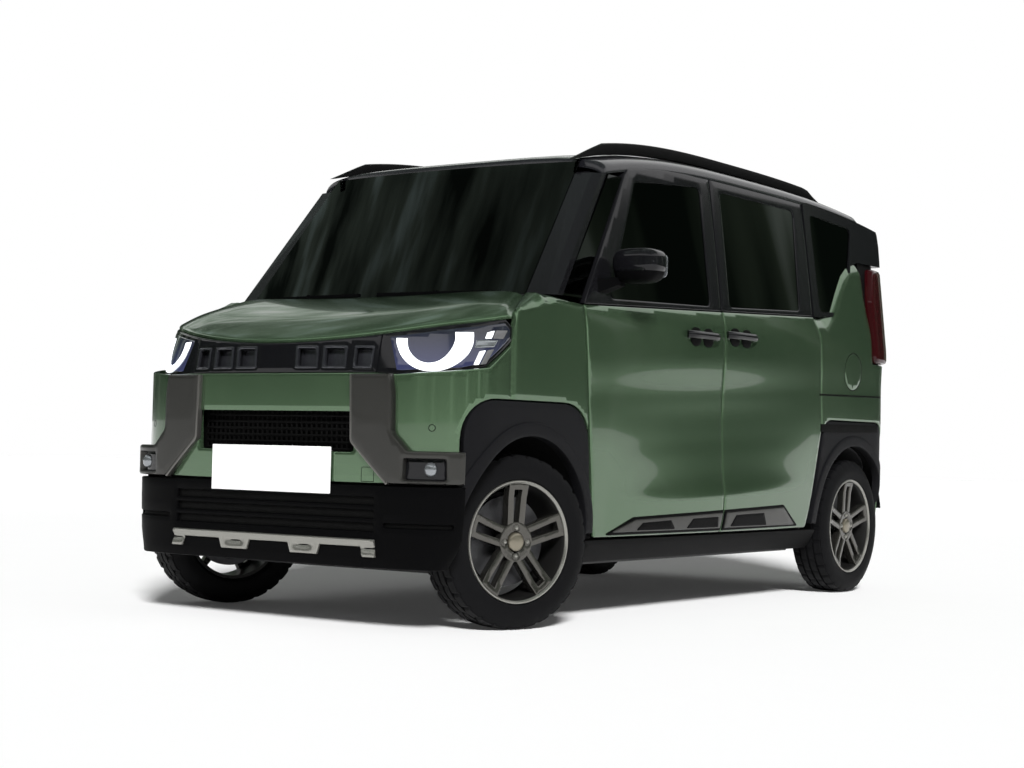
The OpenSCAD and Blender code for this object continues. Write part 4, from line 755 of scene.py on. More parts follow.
# Quarter panels with the blade behind the glass
GATE_HALF, GATE_LOW = 575, 640
gate_s = float(np.interp(-GATE_HALF, -OUTER.x[len(OUTER.x) // 2:], OUTER.s[len(OUTER.x) // 2:]))
BLADE = [(959, 1184), (1033, 1234), (1106, 1320), (1180, 1400), (1245, 1442), (1347, 1462)]
LAMP_Y = REAR_Y - 262
blade_rear = [(1390, 1402), (1400, 1294), (LAMP_Y - 6, 1180), (LAMP_Y - 6, 1008)]
quarter_foot = [q for q in rear_edge if slide_rear[1][0] + GAP + 6 < q[0] < REAR_Y - 150 and q[1] > 600]
quarter_front = [(slide_rear[1][0] + GAP, 700), (slide_rear[2][0] + GAP, 1102, 20),
    (C_LINE + GAP, waist(C_LINE), 6)]
quarter = OUTER.side(quarter_front + BLADE + blade_rear) + [(gate_s - GAP, 1004), (gate_s - GAP, 752)]
quarter += OUTER.side([q for q in reversed(quarter_foot) if q[1] > 690])
blade_line = np.array([q[:2] for q in OUTER.side([(C_LINE + GAP, waist(C_LINE))] + BLADE)])
BEVEL_W, BEVEL_D = 58, 15


def blade_bevel(s, z):
    """The blade's front edge leans in over a broad bevel, and the side's relief runs on below."""
    d = edge_distance(np.stack([s, z], axis=1), [np.concatenate([blade_line, blade_line[-2:0:-1]])])
    return door_crease(s, z) - BEVEL_D * np.clip(1 - d / BEVEL_W, 0, 1) ** 1.3


sheets("quarter_skins", OUTER.surface, [loops(quarter)], GREEN, ["quarter_panels"], thick=30, cell=14,
    bulge=blade_bevel)
# Near-black sheet behind the tail lamp, the gate's edge and their gaps: painted shade seen through the gaps
tail_shade_s = float(OUTER.at_y(LAMP_Y - 40))
tail_shade = [(tail_shade_s, 700), (tail_shade_s, 1480), (gate_s - 2, 1480), (gate_s - 2, 700)]
sheets("tail_shade_sheets", OUTER.surface, [loops(tail_shade)], BLACK_AND_SHADE, depth=13, thick=8, roll=1, cell=30)
rail_slot = OUTER.side([(908, 850), (REAR_Y - 150, 860), (REAR_Y - 150, 868), (908, 858)])
rear_slot = OUTER.side([(930, 696, 3), (REAR_Y - 196, 704, 3), (REAR_Y - 196, 736, 3), (930, 730, 3)])
slot_line = panel(OUTER.surface, loops(rail_slot), depth=-0.6, thick=3, roll=0.5, cell=30,
    bulge=door_crease)
slot_end = panel(OUTER.surface, loops(rear_slot), depth=-1.5, thick=4, roll=1, cell=30)
to_object("rail_slots", *both(joined(slot_line, slot_end)), BLACK_AND_SHADE, "body")


# Bonnet surface
HOOD_TURN, HOOD_REAR_HALF, HOOD_BACK, HOOD_P = 86, HALF_W - 90, 30, 1.9
BONNET_REAR = SCREEN_Y - 50
NOSE_DROP, NOSE_SHARE, HOOD_CROWN = 18, 0.35, 14


def hood_z(x, y):
    share = np.interp(y, [FRONT_Y + FRONT_DEPTH, SCREEN_Y], [0.65, 1])
    return BELT + 38 - 0.36 * (SCREEN_Y - y) - 55 * share * (np.abs(x) / HALF_W) ** 8


def nose_roll(x, v):
    return NOSE_DROP * (1 - 0.8 * (np.abs(x) / HALF_W) ** 2) * np.clip(1 - v / NOSE_SHARE, 0, None) ** 2


def hood_front(t):
    a = math.radians(abs(t))
    return np.array([HALF_W * np.sign(t) * math.sin(a) ** (2 / HOOD_P),
        FRONT_Y + HOOD_BACK + FRONT_DEPTH * (1 - math.cos(a) ** (2 / HOOD_P))])


def hood_back(t):
    x = HOOD_REAR_HALF * t / HOOD_TURN
    return np.array([x, BONNET_REAR + SCREEN_BOW * (x / SCREEN_HALF) ** 2])


def hood_at(t, v, drop):
    q = hood_front(t) * (1 - v) + hood_back(t) * v
    crown = HOOD_CROWN * 4 * v * (1 - v) * (1 - (abs(t) / HOOD_TURN) ** 4)
    return [q[0], q[1], float(hood_z(q[0], q[1]) - nose_roll(q[0], v)) + crown - drop]


def hood_rim(x):
    """Height of the bonnet's front edge at a distance from the middle."""
    a = math.asin(min(1, (abs(x) / HALF_W) ** (HOOD_P / 2)))
    return hood_at(math.degrees(a), 0, 0)[2]


# Fenders with a rounded shoulder up to the bonnet
SHOULDER_R = 46
fender_front = FRONT_AXLE - 128
fender_rear = float(door_edge(BELT)) - GAP
EDGE = np.array([[hood_front(HOOD_TURN)[1], hood_front(HOOD_TURN)[0]],
    [hood_back(HOOD_TURN)[1], HOOD_REAR_HALF],
    [SCREEN_Y + 85, HALF_W - 48], [fender_rear, HALF_W - 22]])


def fender_inset(y):
    return HALF_W - np.interp(y, EDGE[:, 0], EDGE[:, 1]) - 6.5


def fender_round(y):
    return np.minimum(SHOULDER_R, 0.8 * (fender_inset(y) - 8))


def fender_top(y):
    share = (y - EDGE[0, 0]) / (EDGE[1, 0] - EDGE[0, 0])
    near = np.interp(y, EDGE[:, 0], EDGE[:, 1])
    beside = hood_z(near, y) - nose_roll(near, np.clip(share, 0, 1))
    peak = hood_z(EDGE[1, 1], EDGE[1, 0])
    return np.where(y < EDGE[1, 0], beside, np.interp(y, [EDGE[1, 0], fender_rear], [peak, BELT - 2]))


def fender_surface(s, w, depth):
    y = np.interp(s, OUTER.s, OUTER.y)
    r = fender_round(y)
    turn_z = fender_top(y) - r
    over = np.clip(w - turn_z, 0, None)
    angle = np.clip(over / r, 0, math.pi / 2)
    flat = np.clip(over - r * math.pi / 2, 0, None)
    base = OUTER.surface(s, np.minimum(np.minimum(w, turn_z), 1000), np.zeros_like(s))
    base[:, 0] -= r * (1 - np.cos(angle)) + flat + depth * np.cos(angle)
    base[:, 2] = np.where(over > 0, turn_z + r * np.sin(angle), w) - depth * np.sin(angle)
    return base


def fender_edge(y):
    r = fender_round(y)
    return float(fender_top(y) - r + r * math.pi / 2 + fender_inset(y) - r)


edge_ys = np.linspace(fender_front + 36, fender_rear, 14)
fender_foot = [q for q in reversed(front_edge)
    if q[0] > fender_front + 12 and q[1] > 610 and q[0] < door_edge(q[1]) - GAP - 2]
fender = OUTER.side([(fender_front + 3, 757), (fender_front + 3, 930)]
    + [(y, fender_edge(y)) for y in edge_ys]
    + [(door_edge(776) - GAP, 776)] + fender_foot)
sheets("fender_skins", fender_surface, [loops(fender)], GREEN, ["front_fenders"], thick=16, cell=13)

# Bonnet
turn_list = HOOD_TURN * np.sign(np.linspace(-1, 1, 81)) * np.abs(np.linspace(-1, 1, 81)) ** 1.35
deep_list = np.concatenate([[0, 0, 0.008, 0.02], np.linspace(0.05, 0.95, 26), [0.985, 1, 1]])
drops = np.concatenate([[8, 3, 0.8, 0], np.zeros(26), [0.5, 4, 12]])
rows = []
for i, t in enumerate(turn_list):
    side_drop = {0: 10, 1: 2, 79: 2, 80: 10}.get(i, 0)
    rows.append([hood_at(t, v, max(d, side_drop)) for v, d in zip(deep_list, drops)])
to_object("bonnet_skin", *grid_sheet(rows, (0, 0, -1), 6), GREEN, "bonnet", ["bonnet"])

# Roof
roof_u = np.concatenate([-np.array([0.99, 0.975, 0.955, 0.93, 0.9, 0.86, 0.8, 0.7, 0.55, 0.35, 0.15]),
    np.array([0.15, 0.35, 0.55, 0.7, 0.8, 0.86, 0.9, 0.93, 0.955, 0.975, 0.99])])
rows = []
for u in roof_u:
    x = u * ROOF_HALF
    y0 = screen_y(x, SCREEN_TOP) + 10
    ys = np.concatenate([[y0, y0 + 4], np.linspace(y0 + 20, GATE_EDGE_Y - 6, 46),
        [GATE_EDGE_Y - 1, GATE_EDGE_Y]])
    dz = np.concatenate([[9, 2], np.zeros(46), [2, 8]])
    rows.append([(x, y, float(roof_z(x, y)) - d) for y, d in zip(ys, dz)])
to_object("roof_skin", *grid_sheet(rows, (0, 0, -1), 22), ROOF_BLACK, "body", ["roof_panel"])

# Windscreen
rows = []
for u in np.linspace(-1, 1, 31):
    row = []
    for v in np.linspace(0, 1, 13):
        x = u * (SCREEN_HALF + (SCREEN_HALF_TOP - SCREEN_HALF) * v)
        z = SCREEN_Z + (SCREEN_TOP - SCREEN_Z) * v
        row.append((x, float(screen_y(x, z)), z))
    rows.append(row)
to_object("windscreen_pane", *grid_sheet(rows, (0, 1, 0), 6), SCREEN_GLASS, "body", ["windscreen"])

# Nose
GRILLE_HALF = 412
LAMP_GAP = 14
lamp_low = [(GRILLE_HALF + 1, BUMPER_TOP), (505, BUMPER_TOP - 4), (668, BUMPER_TOP + 8),
    (733, BUMPER_TOP + 24)]
bumper_foot = [q for q in reversed(front_edge) if q[0] < fender_front - 10 and q[1] > LIP_Z]
bumper_half = BUMPER.front([(0, LIP_Z), (0, BUMPER_TOP)] + lamp_low) + BUMPER.side(
    [(FRONT_AXLE - 240, BUMPER_TOP + 26), (fender_front - 2, 935, 6), (fender_front - 2, 757)]
    + bumper_foot)
intake = BUMPER.front([(-345, 575, 12), (345, 575, 12), (350, 705, 12), (-350, 705, 12)])
FOG = [(554, 490, 8), (690, 490, 8), (688, 558, 8), (556, 558, 8)]
fog_holes = [BUMPER.front([(side * x, z, r) for x, z, r in FOG]) for side in (1, -1)]
sheets("bumper_skin", BUMPER.surface, [loops(with_mirror(bumper_half)[1:-1], intake, *fog_holes)], GREEN,
    ["front_bumper"], False, thick=16, cell=16)
LOW_END = FRONT_AXLE - 339
low_half = LOWER.front([(0, 205), (0, LIP_Z - 1)]) + LOWER.side(
    [(LOW_END, LIP_Z - 1), (LOW_END, 300, 20), (LOW_END - 16, 205, 20)])
slats = [LOWER.front([(-440, z, 4), (440, z, 4), (440, z + 26, 4), (-440, z + 26, 4)])
    for z in (322, 364, 406)]
groove_ends = LOWER.at_x(478), LOWER.at_y(LOW_END - 33)
groove = [(groove_ends[0], 336), (groove_ends[1], 336), (groove_ends[1], 350), (groove_ends[0], 350)]
grooves = [[(side * s, z, 6) for s, z in groove] for side in (1, -1)]
sheets("lower_skin", LOWER.surface, [loops(with_mirror(low_half)[1:-1], *slats, *grooves)], PLASTIC,
    ["lower_bumper"], False, thick=14)
# Near-black sheets behind the slats, grooves, intake and the bumper's lower seam: painted shade inside these
# openings
SHADE_FORM = dict(thick=4, roll=1, cell=40)
intake_hole = BUMPER.front([(-450, 540, 8), (450, 540, 8), (450, 740, 8), (-450, 740, 8)])
seam = BUMPER.front([(-722, 446), (722, 446), (722, 500), (-722, 500)])
sheets("lower_shade_sheets", LOWER.surface, [loops(q) for q in slats + grooves], BLACK_AND_SHADE, (), False, depth=12,
    **SHADE_FORM)
sheets("intake_shade_sheet", BUMPER.surface, [loops(intake_hole)], BLACK_AND_SHADE, (), False, depth=58, **SHADE_FORM)
sheets("bumper_seam_shade", BUMPER.surface, [loops(seam)], BLACK_AND_SHADE, (), False, depth=30, **SHADE_FORM)
SENSOR, TOW = (630, 657), [(381, 480, 3), (431, 480, 3), (430, 528, 8), (381, 528, 8)]
sensor = [round_loop(r, *SENSOR, 24) for r in (12, 9.5)]
sheets("bumper_sensors", BUMPER.surface, [sensor], BLACK_AND_SHADE, depth=-0.5, thick=3, roll=0.4, cell=10)
tow_line = [rounded(TOW), shifted(turned(rounded(TOW), True), 2)]
sheets("tow_cover", BUMPER.surface, [tow_line], BLACK_AND_SHADE, (), False, depth=-0.4, thick=2, roll=0.3,
    cell=10)
mesh_parts = []
for k in range(6):
    z = 582 + 22 * k
    path = [BUMPER.surface(np.array([s]), np.array([z]), np.array([44.0]))[0]
        for s in np.linspace(-352, 352, 41)]
    mesh_parts.append(tube(path, 5, 6))
for k in range(-16, 17):
    base = BUMPER.surface(np.array([22.0 * k]), np.array([575.0]), np.array([47.0]))[0]
    mesh_parts.append(tube([base, base + (0, 0, 132)], 4, 6))
to_object("intake_mesh", *joined(*mesh_parts), BLACK_AND_SHADE, "body")
GUARD = [(343, 828), (350, 612, 30), (497, 477, 30), (725, 477), (725, 582, 6), (566, 582, 30),
    (508, 640, 30), (506, 765), (496, 828)]
guard_loops = loops(GUARDED.front(GUARD), GUARDED.front(FOG), radius=5)
sheets("guard_shells", GUARDED.surface, [guard_loops], GUNMETAL, ["bumper_guards"], thick=26, roll=8,
    cell=18)
# Strip along the guard's inner edge in the lighter gunmetal: a painted highlight on the chamfer
GUARD_HIGHLIGHT = [(336, 827), (343, 608, 30), (492, 471, 30), (500, 479, 30), (355, 615, 30), (348, 827)]
guard_highlight = loops(GUARDED.front(GUARD_HIGHLIGHT))
sheets("guard_highlights", GUARDED.surface, [guard_highlight], GUNMETAL_HIGHLIGHT, depth=3, thick=18, roll=3, cell=14)

rim_xs = np.linspace(GRILLE_HALF, -GRILLE_HALF, 17)
grille = NOSE.front([(-GRILLE_HALF, BUMPER_TOP + 1, 4), (GRILLE_HALF, BUMPER_TOP + 1, 4)]
    + [(x, hood_rim(x) - LAMP_GAP) for x in rim_xs])
slots = []
for x0, x1 in ((92, 178), (206, 292), (326, 391)):
    slots += [[(side * x, z, 6) for x, z in ((x0, 850), (x1, 850), (x1, 918), (x0, 918))]
        for side in (1, -1)]
grille_holes = [NOSE.front(q) for q in slots]
sheets("grille_face", NOSE.surface, [loops(grille, *grille_holes)], GLOSS_BLACK, ["front_grille"], False,
    thick=26, roll=4, cell=16)


def slot_frame(hole):
    """Frame around a slot in the grille, and the plate behind the slot."""
    edge = rounded(hole)
    centre = edge.mean(0)
    wide, narrow, plate = (centre + (edge - centre) * scale for scale in (1.12, 0.86, 1.02))
    return joined(panel(NOSE.surface, [wide, narrow], depth=-4, thick=8, roll=3, cell=12),
        panel(NOSE.surface, [plate], depth=22, thick=6, roll=2, cell=16))


to_object("grille_frames", *joined(*[slot_frame(hole) for hole in grille_holes]), FRAME_GREY, "body")


# Headlamps with their open ring. Columns: distance along the nose from its middle, height
def curve_through(points, steps=8):
    """Open smooth curve through points."""
    p = np.array(points, float)
    p = np.vstack([2 * p[0] - p[1], p, 2 * p[-1] - p[-2]])
    out = []
    for a, b, c, d in zip(p, p[1:], p[2:], p[3:]):
        for t in np.linspace(0, 1, steps, endpoint=False):
            out.append(0.5 * (2 * b + (c - a) * t + (2 * a - 5 * b + 4 * c - d) * t * t
                + (3 * b - a - 3 * c + d) * t ** 3))
    return out + [p[-2]]


RING_OUT = [(474, 946), (472, 925), (480, 890), (501, 863), (534, 845), (576, 838), (625, 843), (670, 862),
    (704, 891), (720, 923), (722, 951), (720, 969)]
RING_IN = [(663, 968), (663, 940), (652, 912), (631, 887), (604, 871), (570, 866), (538, 875), (516, 897),
    (509, 919), (511, 945)]
LIT_BARS = [[(763, 970), (787, 977), (780, 950), (758, 949)],
    [(745, 907), (766, 912), (747, 863), (729, 862)]]
GREY_BARS = [[(792, 978), (838, 980), (823, 952), (785, 950)],
    [(771, 912), (794, 917), (773, 867), (752, 863)]]
STRIP = [(730, 944), (805, 947), (792, 922), (726, 917)]
lamp_xs = np.linspace(730, GRILLE_HALF + 1, 9)
lamp_rear = [(FRONT_AXLE - 242, BUMPER_TOP + 26, 10), (fender_front - 4, 950, 10),
    (fender_front - 2, 990, 6)]
lamp_top = [(x, hood_rim(x) - LAMP_GAP) for x in lamp_xs]
lamp_edge = rounded(NOSE.front(lamp_low[:3]) + NOSE.side(lamp_rear) + NOSE.front(lamp_top), 2)
sheets("lamp_housings", NOSE.surface, [[lamp_edge]], GLOSS_BLACK, ["headlamps"], thick=30, roll=4, cell=14)
# The cover inside the housing's edge carries the painted glow: light painted inside the lamp beside the lit
# ring
GLOW_FROM = 452
glow = shifted(resampled(turned(lamp_edge, True), 8), 13)
glow = glow[glow[:, 0] > GLOW_FROM]
sheets("lamp_painted_glows", NOSE.surface, [[glow]], LAMP_PAINTED_GLOW, depth=-1.5, thick=5, roll=2, cell=14)
ring = np.array(curve_through(RING_OUT) + curve_through(RING_IN))
sheets("lamp_rings", NOSE.surface, [[ring]], LAMP_WHITE, depth=-7, thick=10, roll=5, cell=9)
lit_bars, grey_bars = ([[rounded(bar, 2)] for bar in bars] for bars in (LIT_BARS, GREY_BARS))
sheets("lamp_lit_bars", NOSE.surface, lit_bars, LAMP_PALE, depth=-6, thick=8, roll=2, cell=10)
sheets("lamp_bars", NOSE.surface, grey_bars, LAMP_GREY, depth=-5, thick=8, roll=2, cell=10)
sheets("lamp_strips", NOSE.surface, [[rounded(STRIP, 3)]], LAMP_DULL, depth=-7, thick=9, roll=4, cell=8)

# Fog lamps, skid garnish and plate
FOG_X, FOG_Z, BOWL_R = 640.0, 524.0, 24
seat = GUARDED.surface(np.array([GUARDED.at_x(FOG_X)]), np.array([FOG_Z]), np.array([18.0]))[0]
fog_bowl = superbox(seat + (0, 4, 0), (BOWL_R, 14, BOWL_R), 2.2, 14)
to_object("fog_bowls", *both(fog_bowl), LAMP_DULL, "body", ["fog_lamps"])
sheets("fog_backs", GUARDED.surface, [loops(GUARDED.front(FOG))], GLOSS_BLACK, depth=22, thick=6, roll=2,
    cell=16)
skid_shape = [(-455, 239, 4)]
for x0, x1 in ((-404, -214), (-98, 98), (214, 404)):
    skid_shape += [(x0, 239, 4), (x0 + 12, 272, 4), (x1 - 12, 272, 4), (x1, 239, 4)]
skid_shape += [(455, 239, 4), (449, 297, 4), (-449, 297, 4)]
FOOT_X = (-430, -153, 153, 430)


def skid_relief(s, z):
    """Round top bar, and a hollow above each foot's lower lip."""
    near = np.min([np.abs(s - GUARDED.at_x(abs(x)) * np.sign(x)) for x in FOOT_X], axis=0)
    hollow = np.clip(1 - (near / 44) ** 4, 0, 1) * np.exp(-((z - 268) / 11) ** 2)
    return 3.0 * np.exp(-((z - 289) / 6) ** 2) - 9.0 * hollow


sheets("skid_bar", GUARDED.surface, [loops(GUARDED.front(skid_shape))], SILVER, ["skid_garnish"], False,
    depth=4, thick=9, roll=4, cell=8, bulge=skid_relief)
PLATE_HALF, PLATE_LOW, PLATE_HIGH, PLATE_Y = 264, 437, 590, FRONT_Y + 2
plate = solid_box((-PLATE_HALF, PLATE_Y, PLATE_LOW), (PLATE_HALF, PLATE_Y + 9, PLATE_HIGH), 2)
to_object("number_plate", *plate, PLATE, "body")


# Wheel arches
def arch_arc(y, radius, first, last, steps):
    """Arc around an axle in side view."""
    return [(y + radius * math.cos(a), AXLE_Z + radius * math.sin(a))
        for a in np.linspace(first, last, steps)]


clads, liners = [], []
foot_angle = math.asin((CLAD_LOW + 20 - AXLE_Z) / ARCH_R)
LIP_END = 0.05
for y, table in ((FRONT_AXLE, FRONT_CLAD), (REAR_AXLE, REAR_CLAD)):
    arc = arch_arc(y, ARCH_R, foot_angle, math.pi - foot_angle, 48)
    lip = arch_arc(y, ARCH_R - 1, LIP_END, math.pi - LIP_END, 56)
    lip += arch_arc(y, ARCH_R + LIP_W, math.pi - LIP_END, LIP_END, 56)
    outline = np.array(OUTER.side(clad_curve(y, table) + arc))
    clads.append(panel(OUTER.surface, [outline], depth=3, thick=24, roll=5, cell=22))
    clads.append(panel(OUTER.surface, [np.array(OUTER.side(lip))], depth=-3, thick=20, roll=5, cell=12))
    liner = arch_arc(y, ARCH_R + 3, math.radians(12), math.radians(168), 40)
    rows = [[(x, *q) for q in liner] for x in np.linspace(HALF_W - 230, HALF_W - 30, 6)]
    liners.append(grid_sheet(rows, (0, 0, 1), 4))
to_object("arch_skins", *both(joined(*clads)), CLADDING, "body", ["arch_cladding"])
to_object("arch_liners", *both(joined(*liners)), BLACK_AND_SHADE, "body")

# Sills and the garnish along the doors' lower edges
sill_y = FRONT_AXLE + 362, REAR_AXLE - 338
sill = OUTER.side([(sill_y[0], 202, 6), (sill_y[1], 202, 6), (sill_y[1], DOOR_LOW - GAP),
    (sill_y[0], DOOR_LOW - GAP)])
sheets("sill_skins", OUTER.surface, [loops(sill)], PLASTIC, ["sill_covers"], thick=24)
door_trim = [(-753, 298, 6), (-575, 361, 20), (door_back - 3, 378, 4), (door_back - 3, 298, 4)]
door_grey = [(-719, 308, 4), (-567, 352, 14), (door_back - 13, 368, 4), (door_back - 13, 308, 4)]
door_cuts = [[(-560, 312, 5), (-520, 340, 5), (-330, 346, 5), (-290, 312, 5)],
    [(-210, 312, 5), (-170, 349, 5), (20, 353, 5), (34, 312, 5)]]
slide_trim = [(slide_front + 3, 298, 4), (slide_front + 3, 378, 4), (582, 392, 20), (740, 302, 6)]
slide_grey = [(slide_front + 13, 308, 4), (slide_front + 13, 368, 4), (576, 382, 14), (700, 308, 4)]
slide_cuts = [[(130, 312, 5), (165, 357, 5), (400, 362, 5), (440, 312, 5)]]
TRIM_LAYERS = [("", PLASTIC, -5, 8, 4), ("_grey", GUNMETAL, -8, 8, 3), ("_cuts", PLASTIC, -9.5, 4, 2)]


def trim(outlines, depth, thick, roll):
    return joined(*[panel(OUTER.surface, loops(OUTER.side(q)), depth, thick, roll, 18, door_crease)
        for q in outlines])


for side_name, flip in FLIPS.items():
    for (suffix, mat, *form), outlines in zip(TRIM_LAYERS, ([door_trim], [door_grey], door_cuts)):
        to_object("door_trim%s_%s" % (suffix, side_name), *flip(trim(outlines, *form)), mat,
            "door_" + side_name)
for (suffix, mat, *form), outlines in zip(TRIM_LAYERS, ([slide_trim], [slide_grey], slide_cuts)):
    to_object("slide_trim" + suffix, *both(trim(outlines, *form)), mat, "body")

# Rear bumper, tail lamps and tailgate
rear_end = OUTER.s[-1]


def tail_surface(u, z, depth):
    """Surface of the tail by signed distance from the tail's middle."""
    out = OUTER.surface(rear_end - np.abs(u), z, depth)
    out[:, 0] *= np.sign(u) + (u == 0)
    return out


def tail_panel(*outlines, **form):
    vertices, faces = panel(tail_surface, loops(*outlines), **form)
    return vertices, [tuple(reversed(f)) for f in faces]


tail_w = rear_end - gate_s
side_u = [rear_end - float(OUTER.at_y(y)) for y in (REAR_AXLE + 200, REAR_AXLE + 332)]
behind = [q for q in reversed(rear_edge) if q[0] > REAR_AXLE + 250 and q[1] > 330]
half = [(side_u[1], 205, 30)] + [(rear_end - float(OUTER.at_y(y)), z) for y, z in behind]
half += [(side_u[0] - 60, 748), (tail_w + GAP, 748), (tail_w + GAP, GATE_LOW - GAP)]
to_object("rear_bumper_skin", *tail_panel(with_mirror(half), thick=24), GREEN, "body", ["rear_bumper"])
gate = [(-tail_w, GATE_LOW, 20), (tail_w, GATE_LOW, 20), (tail_w, SHOULDER + 10, 10),
    (-tail_w, SHOULDER + 10, 10)]
window_w = tail_w - 90, tail_w - 110
gate_window = [(-window_w[0], 1130, 40), (window_w[0], 1130, 40), (window_w[1], SHOULDER - 60, 40),
    (-window_w[1], SHOULDER - 60, 40)]
to_object("tailgate_skin", *tail_panel(gate, gate_window, thick=40), GREEN, "tailgate", ["tailgate"])
rows = []
SPOILER_Y = GATE_EDGE_Y + GAP
ys = np.concatenate([[SPOILER_Y, SPOILER_Y + 2], np.linspace(SPOILER_Y + 12, ROOF_HORN - 8, 10),
    [ROOF_HORN]])
dz = np.concatenate([[8, 2], np.zeros(10), [6]])
for x in GATE_HALF * np.linspace(-1, 1, 25):
    rows.append([(x, y, float(roof_z(x, y)) - d) for y, d in zip(ys, dz)])
to_object("spoiler_skin", *grid_sheet(rows, (0, 0, -1), 24), ROOF_BLACK, "tailgate")
lamp_u = [rear_end - float(OUTER.at_y(LAMP_Y)), tail_w + GAP + 14]
tail_lamp = [(lamp_u[0], 1012, 30), (lamp_u[0], 1290, 60), (lamp_u[0] - 34, 1440, 30),
    (lamp_u[1], 1440, 20), (lamp_u[1], 1012, 30)]
tail_lamps = both(tail_panel(tail_lamp, depth=-24, thick=50, roll=18, cell=16))
to_object("tail_lamp_skins", *tail_lamps, LAMP_RED, "body", ["tail_lamps"])


# Wheels
TYRE_R, TYRE_W, BEAD_R = 289.5, 165, 198


def tyre_profile():
    half = TYRE_W / 2
    lower = [(BEAD_R, 16 - half), (BEAD_R + 12, 4 - half), (BEAD_R + 34, -half), (TYRE_R - 42, 1 - half),
        (TYRE_R - 22, 7 - half), (TYRE_R - 9, 15 - half)]
    tread = []
    for x0, x1 in ((-66, -36), (-30, -4), (4, 30), (36, 66)):
        crown = [TYRE_R - 5 * (abs(x) / 70) ** 3 for x in (x0, x1)]
        tread += [(crown[0] - 8, x0 - 0.5), (crown[0], x0 + 1), (crown[1], x1 - 1),
            (crown[1] - 8, x1 + 0.5)]
    return lower + tread + [(r, -x) for r, x in reversed(lower)]


def tread_wobble(k, profile):
    """Cross grooves in the shoulders, and finer sipes in the ribs."""
    x, r = profile[:, 1], profile[:, 0]
    shoulder = (np.abs(x) > 33) & (r > TYRE_R - 14) & (k % 6 == 0)
    middle = (np.abs(x) <= 33) & (r > TYRE_R - 4) & (k % 6 == 3)
    return np.where(shoulder, -6, 0) + np.where(middle, -4, 0)


def dish(r):
    """Place of the wheel's face along its axle, by radius."""
    return TYRE_W / 2 + np.interp(r, [0, 40, 70, 150, 194], [-29, -28, -26, -21, -11])


def wheel_face(angle):
    """Surface of the wheel's face, with its first coordinate along the direction of one angle."""
    c, s = math.cos(angle), math.sin(angle)

    def surface(u, w, depth):
        return np.stack([dish(np.hypot(u, w)) - depth, u * s + w * c, u * c - w * s], axis=1)
    return surface


SPOKE_PITCH, SPOKE_W = 22, 24
inner, outer = SPOKE_PITCH - SPOKE_W / 2, SPOKE_PITCH + SPOKE_W / 2


def spoke_pair(angle):
    """Two spokes side by side, joined at the rim and at the hub."""
    end = BEAD_R - 5
    outline = [(34, -outer), (end - 3, -outer - 6), (end, 0), (end - 3, outer + 6), (34, outer)]
    slot = [(64, -inner, 3), (172, -inner - 5, 3), (172, inner + 5, 3), (64, inner, 3)]
    return panel(wheel_face(angle), loops(outline, slot), thick=26, roll=4, cell=11)


def placed(part, tag):
    """A left wheel's part, made about X, at the place of any wheel."""
    spin = joint("spin_" + tag)
    v, f = mirrored_mesh(*part) if tag.endswith("right") else part
    axis = Vector(spin["axis"])
    turn = Matrix.Rotation(math.atan2(axis[1], axis[0]), 3, "Z")
    return np.array(v, float) @ np.array(turn).T + np.array(spin["pos_m"]) / MM, f


face = TYRE_W / 2
tyre_part = revolved(tyre_profile(), 180, tread_wobble)
barrel = revolved([(BEAD_R - 12, 18 - face), (BEAD_R - 1, 18 - face), (BEAD_R - 1, face - 18),
    (BEAD_R - 4, face - 14), (BEAD_R - 12, face - 26)], 128)
flange = revolved([(BEAD_R - 5, face - 20), (BEAD_R + 3, face - 16), (BEAD_R + 6, face - 10),
    (BEAD_R + 4, face - 6), (BEAD_R, face - 6), (BEAD_R - 5, face - 11)], 128)
spokes = [spoke_pair(2 * math.pi * k / 5) for k in range(5)]
LUGS = [(46, 0), (0, 46), (-46, 0), (0, -46)]
hub_holes = [round_loop(13, *q, 20) for q in LUGS] + [round_loop(33)]
hub_face = panel(wheel_face(0), [round_loop(66)] + hub_holes, depth=-1.5, thick=24, roll=3, cell=9)
hub_back = revolved([(0.5, face - 60), (64, face - 60), (64, face - 44), (0.5, face - 44)], 48)
cap = revolved([(0.5, face - 44), (31, face - 44), (31, face - 24), (28, face - 20), (20, face - 18),
    (0.5, face - 17)], 48)
nut = revolved([(0.5, face - 44), (9, face - 44), (9, face - 27), (6, face - 22), (0.5, face - 21)], 6)
nuts = joined(*[(nut[0] + (0, w, u), nut[1]) for u, w in LUGS])
brake = revolved([(40, -22), (150, -22), (150, -2), (40, -2)], 72)
# Columns: name, part, material, angle of sharp edges
WHEEL_PIECES = [("tyre_tread_", tyre_part, RUBBER, 28), ("rim_spokes_", joined(*spokes, hub_face), RIM, 32),
    ("rim_hub_", hub_back, RIM_SHADE, 42), ("rim_barrel_", barrel, RIM_SHADE, 42),
    ("rim_flange_", flange, SILVER, 42), ("rim_cap_", cap, BRONZE, 42),
    ("rim_nuts_", nuts, SILVER, 25), ("brake_disc_", brake, STEEL, 42)]
for tag in ("front_left", "front_right", "rear_left", "rear_right"):
    replaced = {"tyre_tread_": ["tyre_" + tag], "rim_spokes_": ["rim_" + tag]}
    for name, part, mat, sharp in WHEEL_PIECES:
        to_object(name + tag, *placed(part, tag), mat, "wheel_" + tag, replaced.get(name, ()), sharp)

